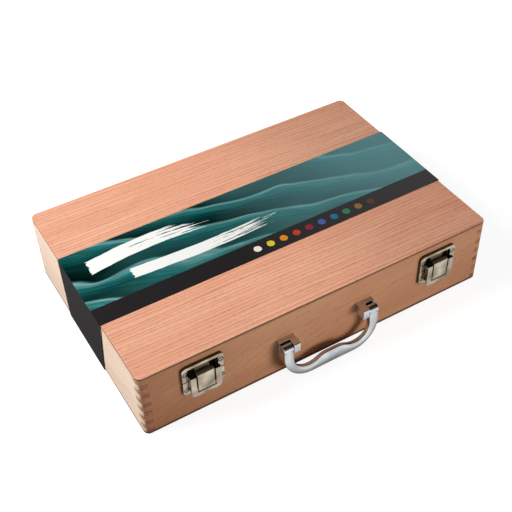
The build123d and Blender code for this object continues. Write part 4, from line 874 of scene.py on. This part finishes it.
centreX, centreZ = bow["cornerCentre"]
corner = []
for angle in (math.radians(-step) for step in range(0, 91, 3)):
    x, z = bow["cornerRadius"] * math.cos(angle), bow["cornerRadius"] * math.sin(angle)
    corner.append((centreX + x, centreZ + z))
outerPath = alongPath([(bow["outerX"], 0.0)] + corner + [(0.0, -bow["drop"])], bow["stations"])
innerLeg, innerGrip = (bend(*points) for points in bow["innerBends"])
innerPath = [(bow["innerX"], 0.0)] + innerLeg + innerGrip[1:] + [(0.0, bow["gripTop"])]
innerPath = alongPath(innerPath, bow["stations"])
stations = [(o, i, n / bow["stations"]) for n, (o, i) in enumerate(zip(outerPath, innerPath))]
stations += [(Vector((-o.x, o.y)), Vector((-i.x, i.y)), t) for o, i, t in stations[-2::-1]]
tilt = math.radians(bow["tilt"])
hang, outward = Vector((0, math.sin(tilt), math.cos(tilt))), Vector((0, -math.cos(tilt), math.sin(tilt)))
pivot = Vector(bow["pivot"])
bar = bmesh.new()
rings = []
for outer, inner, t in stations:
    crown = bow["crownLeg"] + (bow["crownGrip"] - bow["crownLeg"]) * t * t * (3 - 2 * t)
    lead = (outer - inner).normalized()
    ring = []
    for across, rise in bowSection((outer - inner).length, crown):
        flat = inner + lead * across
        ring.append(bar.verts.new((pivot + Vector((flat.x, 0, 0)) + hang * flat.y + outward * rise) * mm))
    rings.append(ring)
for first, second in zip(rings, rings[1:]):
    for n in range(len(first)):
        bar.faces.new((first[n], first[n - 1], second[n - 1], second[n]))
bar.faces.new(rings[0])
bar.faces.new(rings[-1])
bmesh.ops.remove_doubles(bar, verts=bar.verts, dist=2e-6)
bmesh.ops.recalc_face_normals(bar, faces=bar.faces)


def loose(name, shape):
    # an object for a boolean, taken away again once it has done its work
    mesh = bpy.data.meshes.new(name)
    shape.to_mesh(mesh)
    shape.free()
    thing = bpy.data.objects.new(name, mesh)
    scene.collection.objects.link(thing)
    return thing


barPiece = loose("bowBar", bar)
for side in (-1, 1):
    eye = bmesh.new()
    loops = []
    for x, radius in bow["eye"]:
        loop = []
        for n in range(bow["eyeSides"]):
            angle = n * math.pi / (bow["eyeSides"] // 2)
            place = (side * x, pivot.y + radius * math.cos(angle), pivot.z + radius * math.sin(angle))
            loop.append(eye.verts.new(Vector(place) * mm))
        loops.append(loop)
    for first, second in zip(loops, loops[1:] + loops[:1]):
        for n in range(bow["eyeSides"]):
            eye.faces.new((first[n - 1], first[n], second[n], second[n - 1]))
    bmesh.ops.recalc_face_normals(eye, faces=eye.faces)
    weld = barPiece.modifiers.new("eye", "BOOLEAN")
    weld.operation, weld.solver, weld.object = "UNION", "EXACT", loose("bowEye", eye)
welded = bpy.data.meshes.new_from_object(barPiece.evaluated_get(bpy.context.evaluated_depsgraph_get()))
for thing in [weld.object for weld in barPiece.modifiers] + [barPiece]:
    bpy.data.objects.remove(thing)
castBow = bmesh.new()
castBow.from_mesh(welded)
bmesh.ops.remove_doubles(castBow, verts=castBow.verts, dist=4e-6)
finished("handleBow", castBow, chrome, "handle", ("handle_bow",), smooth=42.0)
print("handle cast")


# Paint tubes: round at the shoulder, flattened to a crimped fold, with ribbed caps
tubeSpots = [(((n - (tubes["count"] - 1) / 2) * tubes["pitch"], 0.0, tubes["z"]), (0, 0, 1))
             for n in range(tubes["count"])]


def tubeTree():
    # neck and round body, then flattened to three folds; it lies with its neck to the front
    labels = ["Radius", "Neck Radius", "Fold Half Width", "Fold Half Thickness"]
    tree, start = growTree("collapsibleTube", labels)
    radius, neck, foldWide, foldThin = (start[label] for label in labels)
    collar, shoulder = put(tree, "Math MULTIPLY", neck, 1.15), put(tree, "Math MULTIPLY", radius, 0.93)
    rings = [(0, 0, -10.52), (neck, neck, -10.52), (neck, neck, -2.5), (collar, collar, -2.4),
             (shoulder, shoulder, 1.0), (radius, radius, 1.7), (radius, radius, 26.0)]
    for t in (n / 12 for n in range(1, 13)):  # flattens towards the fold, a little full in the middle
        ease = t * t * (3 - 2 * t) * 0.35 + t * 0.65
        ring = [put(tree, "Math SUBTRACT", end, radius) for end in (foldWide, foldThin)]
        ring = [put(tree, "Math MULTIPLY_ADD", change, ease, radius) for change in ring]
        rings.append((*ring, 27.0 + 74.2 * t))
    groove = put(tree, "Math MULTIPLY", foldThin, 0.62)
    for fold in (101.5, 104.1, 106.7):  # the crimped end, folded over three times
        rings += [(foldWide, groove, fold), (foldWide, foldThin, fold + 0.6),
                  (foldWide, foldThin, fold + 2.2)]
    rings += [(foldWide, put(tree, "Math MULTIPLY", foldThin, 0.5), 109.4), (0, 0, 109.5)]
    lying = {"Geometry": turned(tree, rings, 40), "Rotation": (-quarter, 0.0, 0.0)}
    return standOnPoints(tree, start, put(tree, "GeometryNodeTransform", lying))


def ribbedCapTree(name, rings, segments=96, ribs=24):
    # a hollow cap with ribs round its side
    tree, start = growTree(name, ["Rib Depth"])
    rings = [(radius, radius, along, share) for radius, along, share in rings]
    return standOnPoints(tree, start, turned(tree, rings, segments, ribs, start["Rib Depth"]))


tubeSizes = {"Radius": 10.5, "Neck Radius": 4.0, "Fold Half Width": 16.5, "Fold Half Thickness": 1.0,
             "Seed": 1}
grown("paintTubes", tubeTree(), tubeSizes, tubeSpots, tubeEnamel, "case", ("paint_tubes",),
      smooth=50.0)
# profiles are (radius, place along the axis), and for a cap the share of its ribs' depth
tubeCap = [(4.06, 0.0, 0), (6.7, 0.0, 0), (7.2, 0.5, 0), (7.2, 1.6, 0), (7.1, 2.0, 1), (6.6, 12.4, 1),
           (6.5, 12.9, 0), (6.1, 13.8, 0), (5.2, 14.0, 0), (4.9, 13.6, 0), (0, 13.6, 0), (0, 8.1, 0),
           (4.06, 8.1, 0), (4.06, 0.0, 0)]
tubeCapSpots = [((x, -2.52, z), (0, -1, 0)) for (x, _, z), _ in tubeSpots]
grown("tubeCaps", ribbedCapTree("ribbedTubeCap", tubeCap), {"Rib Depth": 0.45, "Seed": 1}, tubeCapSpots,
      capPlastic, "case", ("tube_caps",))

# Bottles: blown glass with oil, plain paper labels, ribbed screw caps
bottle = {"x": -186.0, "z": 25.04, "capX": -107.98, "rows": {"front": -99.9, "rear": -57.3}, "level": 7.0,
          "cutter": (0.4, 0.08, 0.06)}
shoulder = [(21.0, 68.0), (20.7, 69.6), (19.4, 71.4), (17.2, 72.8), (14.4, 74.0), (11.8, 75.2), (9.9, 76.4),
            (9.0, 78.0)]
foot = [(0, 0.8), (14.0, 0.6), (18.0, 0.0), (20.2, 0.5), (21.0, 2.0), (21.0, 34.0)]
outside = foot + shoulder + [(9.0, 94.0)]
inside = [(7.4, 94.0)] + [(r - 1.6, h - 0.5) for r, h in reversed(shoulder)]
inside += [(19.4, 34.0), (19.4, 3.6), (17.0, 2.2), (0, 2.6)]
# the oil reaches a little into the glass, so no air lies between
filled = [(0, 2.3)] + [(r + 0.3, h - 0.3 if h < 10 else h) for r, h in reversed(inside[:-1])] + [(0, 93.9)]
wrap = [(21.03, 13.0), (21.14, 13.2), (21.14, 54.8), (21.03, 55.0), (21.03, 13.0)]
alongCase = (quarter, 0.0, quarter)


def bottleTree(name, profile, level=False):
    # a profile turned round the bottle's axis and laid along the case
    tree, start = growTree(name, ["Level"])
    shape = turned(tree, [(radius, radius, along) for radius, along in profile], 56)
    shape = put(tree, "GeometryNodeTransform", {"Geometry": shape, "Rotation": alongCase})
    if level:  # what lies above the liquid's level is cut away
        lift = put(tree, "CombineXYZ", {2: put(tree, "Math ADD", start["Level"], bottle["cutter"][2] / 2)})
        box = put(tree, "GeometryNodeMeshCube", {"Size": bottle["cutter"]})
        box = put(tree, "GeometryNodeTransform", {"Geometry": box, "Translation": lift})
        cut = {"Mesh 1": shape, "Mesh 2": [box]}
        shape = put(tree, "GeometryNodeMeshBoolean", cut, operation="DIFFERENCE", solver="EXACT")
    return standOnPoints(tree, start, shape)


bottleSpots = [((bottle["x"], y, bottle["z"]), (0, 0, 1)) for y in bottle["rows"].values()]
grown("bottleGlass", bottleTree("blownBottle", outside + inside), {"Seed": 1}, bottleSpots, bottleGlass,
      "case", ("bottle_front", "bottle_rear"))
grown("bottleLiquid", bottleTree("bottledLiquid", filled, level=True), {"Level": bottle["level"], "Seed": 1},
      bottleSpots, mediumOil, "case")
grown("bottleLabels", bottleTree("paperWrap", wrap), {"Seed": 1}, bottleSpots, labelPaper,
      "case", smooth=50.0)
screwCap = [(9.1, 0.0, 0), (12.5, 0.0, 0), (13.0, 0.5, 0), (13.0, 2.2, 0), (12.9, 2.6, 1), (12.9, 15.6, 1),
            (12.6, 16.2, 0), (11.8, 17.4, 0), (10.6, 17.6, 0), (0, 17.6, 0), (0, 16.05, 0), (9.1, 16.05, 0),
            (9.1, 0.0, 0)]
bottleCapTree = ribbedCapTree("ribbedScrewCap", screwCap)
for place, y in bottle["rows"].items():
    node = f"bottle_cap_{place}"
    grown(f"bottleCap_{place}", bottleCapTree, {"Rib Depth": 0.55, "Seed": 1},
          [((bottle["capX"], y, bottle["z"]), (1, 0, 0))], blackPlastic, node, (node,))


# Brushes: crimped ferrules and a bunch of separate hairs round a core

def ferruleTree():
    # thin metal sleeve, pinched twice where it grips the handle, with a recess for the hair
    tree, start = growTree("crimpedFerrule", [])
    pinches = ((0.0, 0.25), (0.3, 0.0), (4.0, 0.0), (4.5, 0.34), (5.2, 0.34), (5.7, 0.0), (7.6, 0.0),
               (8.1, 0.34), (8.8, 0.34), (9.3, 0.0), (16.0, 0.0), (23.0, 0.0), (29.7, 0.0), (30.0, 0.12))
    rings = [(0, 0, 0.0)]
    for along, pinch in pinches:  # round at the handle, flat at the hair
        share = along / brush["ferruleLength"]
        half = brush["ferruleRadius"] + brush["ferruleWidens"] * share - pinch
        rings.append((half, brush["ferruleRadius"] - brush["ferruleFlattens"] * share - pinch, along))
    rings += [(4.1, 1.65, 29.9), (4.1, 1.65, 28.0), (0, 0, 28.0)]
    lying = {"Geometry": turned(tree, rings, 36), "Rotation": alongCase}
    return standOnPoints(tree, start, put(tree, "GeometryNodeTransform", lying))


def bristleTree():
    # thin cones on a disc, drawn out from the root's size to the tip's, round a solid core
    labels = ["Length", "Root Half Width", "Root Half Depth", "Tip Half Width", "Tip Half Depth"]
    tree, start = growTree("brushBristles", labels, ["Hairs", "Seed"])
    disc = put(tree, "GeometryNodeMeshCircle", {"Vertices": 32, "Radius": 0.95}, fill_type="NGON")
    roots = {"Mesh": disc, "Density": start["Hairs"], "Seed": start["Seed"]}
    roots = put(tree, "GeometryNodeDistributePointsOnFaces", roots)
    hair = put(tree, "GeometryNodeMeshCone", {"Vertices": 5, "Side Segments": 3, "Radius Top": 0.012,
                                              "Radius Bottom": 0.075, "Depth": 1.0})
    reach = put(tree, "FunctionNodeRandomValue", {2: 0.86, 3: 1.0, 8: start["Seed"]}, data_type="FLOAT")
    spread = {"Points": roots, "Instance": hair, "Scale": put(tree, "CombineXYZ", 1.0, 1.0, reach)}
    bunch = put(tree, "GeometryNodeInstanceOnPoints", spread)
    real = put(tree, "GeometryNodeRealizeInstances", {"Geometry": bunch})
    across, deep, along = put(tree, "SeparateXYZ", put(tree, "GeometryNodeInputPosition")).outputs
    halves = []
    for way in ("Width", "Depth"):
        change = put(tree, "Math SUBTRACT", start[f"Tip Half {way}"], start[f"Root Half {way}"])
        halves.append(put(tree, "Math MULTIPLY_ADD", change, along, start[f"Root Half {way}"]))
    place = put(tree, "CombineXYZ", put(tree, "Math MULTIPLY", along, start["Length"]),
                put(tree, "Math MULTIPLY", across, halves[0]), put(tree, "Math MULTIPLY", deep, halves[1]))
    combed = put(tree, "GeometryNodeSetPosition", {"Geometry": real, "Position": place})
    core = [(0, 0, -1.8), (3.9, 1.6, -1.8), (4.0, 1.7, 0.0), (3.8, 1.3, 8.0), (3.6, 0.9, 15.0),
            (3.3, 0.5, 20.5), (0, 0, 21.5)]
    core = put(tree, "GeometryNodeTransform", {"Geometry": turned(tree, core, 24), "Rotation": alongCase})
    return standOnPoints(tree, start, put(tree, "GeometryNodeJoinGeometry", {0: [combed, core]}))


ferruleSpots, bristleSpots = ([((brush[start], y, brush["z"]), (0, 0, 1)) for y in brush["rows"]]
                              for start in ("ferruleX", "bristleX"))
bristleSizes = {"Length": brush["bristleLength"], "Root Half Width": 4.4, "Root Half Depth": 1.9,
                "Tip Half Width": 4.0, "Tip Half Depth": 0.7, "Hairs": brush["hairs"], "Seed": 11}
grown("brushFerrules", ferruleTree(), {"Seed": 1}, ferruleSpots, ferruleNickel, "case",
      ("brush_ferrules",))
grown("brushBristles", bristleTree(), bristleSizes, bristleSpots, hogHair, "case",
      ("brush_bristles",), smooth=60.0)
print("tubes, bottles and brushes grown")


# Camera: the photograph's angle, found from the case's corners
viewpoint = {"place": (-0.35769, -0.63321, 0.72053), "azimuth": -29.41, "elevation": 43.66, "roll": -1.98,
             "focalPixels": 923.02, "pixels": 512, "sensor": 36.0}
azimuth, elevation, roll = (math.radians(viewpoint[k]) for k in ("azimuth", "elevation", "roll"))
level = math.cos(elevation)
back = Vector((math.sin(azimuth) * level, -math.cos(azimuth) * level, math.sin(elevation)))
right = Vector((math.cos(azimuth), math.sin(azimuth), 0.0))
upward = back.cross(right)
rolledRight = right * math.cos(roll) + upward * math.sin(roll)
rolledUp = upward * math.cos(roll) - right * math.sin(roll)
lens = bpy.data.cameras.new("photoCamera")
lens.sensor_width = viewpoint["sensor"]
lens.lens = viewpoint["focalPixels"] * viewpoint["sensor"] / viewpoint["pixels"]
camera = bpy.data.objects.new("photoCamera", lens)
scene.collection.objects.link(camera)
axes = Matrix((rolledRight, rolledUp, back)).transposed().to_4x4()
camera.matrix_world = Matrix.Translation(viewpoint["place"]) @ axes
scene.camera = camera

# Studio: white round the object, one broad lamp from behind the left end, a weak one from the right front
studio = {
    "key": {"place": (-1.0, 0.42, 0.85), "size": 0.9, "power": 24.5},
    "side": {"place": (0.6, -1.4, 0.24), "size": 0.8, "power": 11.4},
    "aim": (0.0, 0.0, 0.04), "fill": 0.17, "fillTone": (1.0, 0.985, 0.965, 1.0),
    "white": (1.0, 1.0, 1.0, 1.0),
    "overhead": [(0.06, 1.0), (0.20, 0.62), (0.36, 0.14), (0.70, 0.03)],
    "floorBounce": "#5C5855", "floorLit": (0.34, 0.34, 0.34, 1.0), "floorGlow": 0.86, "floorSize": 6.0,
    "shadowScale": 4.0, "shadowShift": -0.54,
    "shadow": [(0.0, 0.05), (0.06, 0.24), (0.11, 0.66), (0.18, 0.90), (0.3, 1.0)]}
for name in ("key", "side"):
    look = studio[name]
    light = bpy.data.lights.new(name + "Lamp", "AREA")
    light.shape = "DISK"
    light.size = look["size"]
    light.energy = look["power"]
    hung = bpy.data.objects.new(name + "Lamp", light)
    scene.collection.objects.link(hung)
    hung.location = look["place"]
    hung.rotation_euler = (Vector(studio["aim"]) - Vector(look["place"])).to_track_quat("-Z", "Y").to_euler()
    hung.visible_glossy = False


def cameraShare(tree):
    # 1 where the camera, or a gloss or glass ray, looks straight at the backdrop
    path = put(tree, "LightPath").outputs
    share = put(tree, "Math ADD", path["Is Camera Ray"], path["Is Glossy Ray"])
    return put(tree, "Math ADD", share, path["Is Transmission Ray"], use_clamp=True), path["Is Glossy Ray"]


sky = bpy.data.worlds.new("studioWorld")
scene.world = sky
sky.use_nodes = True
skyTree = sky.node_tree
skyTree.nodes.clear()
seen, gloss = cameraShare(skyTree)
heading = put(skyTree, "SeparateXYZ", put(skyTree, "TexCoord").outputs["Generated"])
# to gloss the studio is unlit overhead, so that metal edges have something dark to show
overhead = put(skyTree, "ValToRGB", heading.outputs[2], stops=studio["overhead"])
shownSky = put(skyTree, "Mix", gloss, studio["white"], overhead)
plain = put(skyTree, "Background", {"Color": studio["fillTone"], "Strength": studio["fill"]})
white = put(skyTree, "Background", {"Color": shownSky, "Strength": 1.0})
put(skyTree, "OutputWorld", {"Surface": put(skyTree, "MixShader", seen, plain, white)})

floorMade = bpy.data.materials.new("seamlessPaperMatt")
floorMade.use_nodes = True
floorTree = floorMade.node_tree
floorTree.nodes.clear()
seen, gloss = cameraShare(floorTree)
bounce = put(floorTree, "BsdfDiffuse", {"Color": colour(studio["floorBounce"])})
lit = put(floorTree, "BsdfDiffuse", {"Color": studio["floorLit"]})
# close to the case its own shadow falls on the paper, which polished metal shows as grey
away = put(floorTree, "SeparateXYZ", put(floorTree, "TexCoord").outputs["Object"]).outputs[1]
away = put(floorTree, "Math ABSOLUTE", away)
away = put(floorTree, "Math MULTIPLY_ADD", away, studio["shadowScale"], studio["shadowShift"])
shaded = put(floorTree, "ValToRGB", away, stops=studio["shadow"])
shaded = put(floorTree, "Mix", gloss, studio["white"], shaded)
glow = put(floorTree, "Emission", {"Color": shaded, "Strength": studio["floorGlow"]})
shownFloor = put(floorTree, "AddShader", lit, glow)
put(floorTree, "OutputMaterial", {"Surface": put(floorTree, "MixShader", seen, bounce, shownFloor)})

sheet = bmesh.new()
bmesh.ops.create_grid(sheet, x_segments=8, y_segments=8, size=studio["floorSize"])
floorMesh = bpy.data.meshes.new("studioFloor")
sheet.to_mesh(floorMesh)
sheet.free()
floorMesh.materials.append(floorMade)
floorPiece = bpy.data.objects.new("studioFloor", floorMesh)
scene.collection.objects.link(floorPiece)

scene.view_settings.view_transform = "Standard"
print("scene finished")
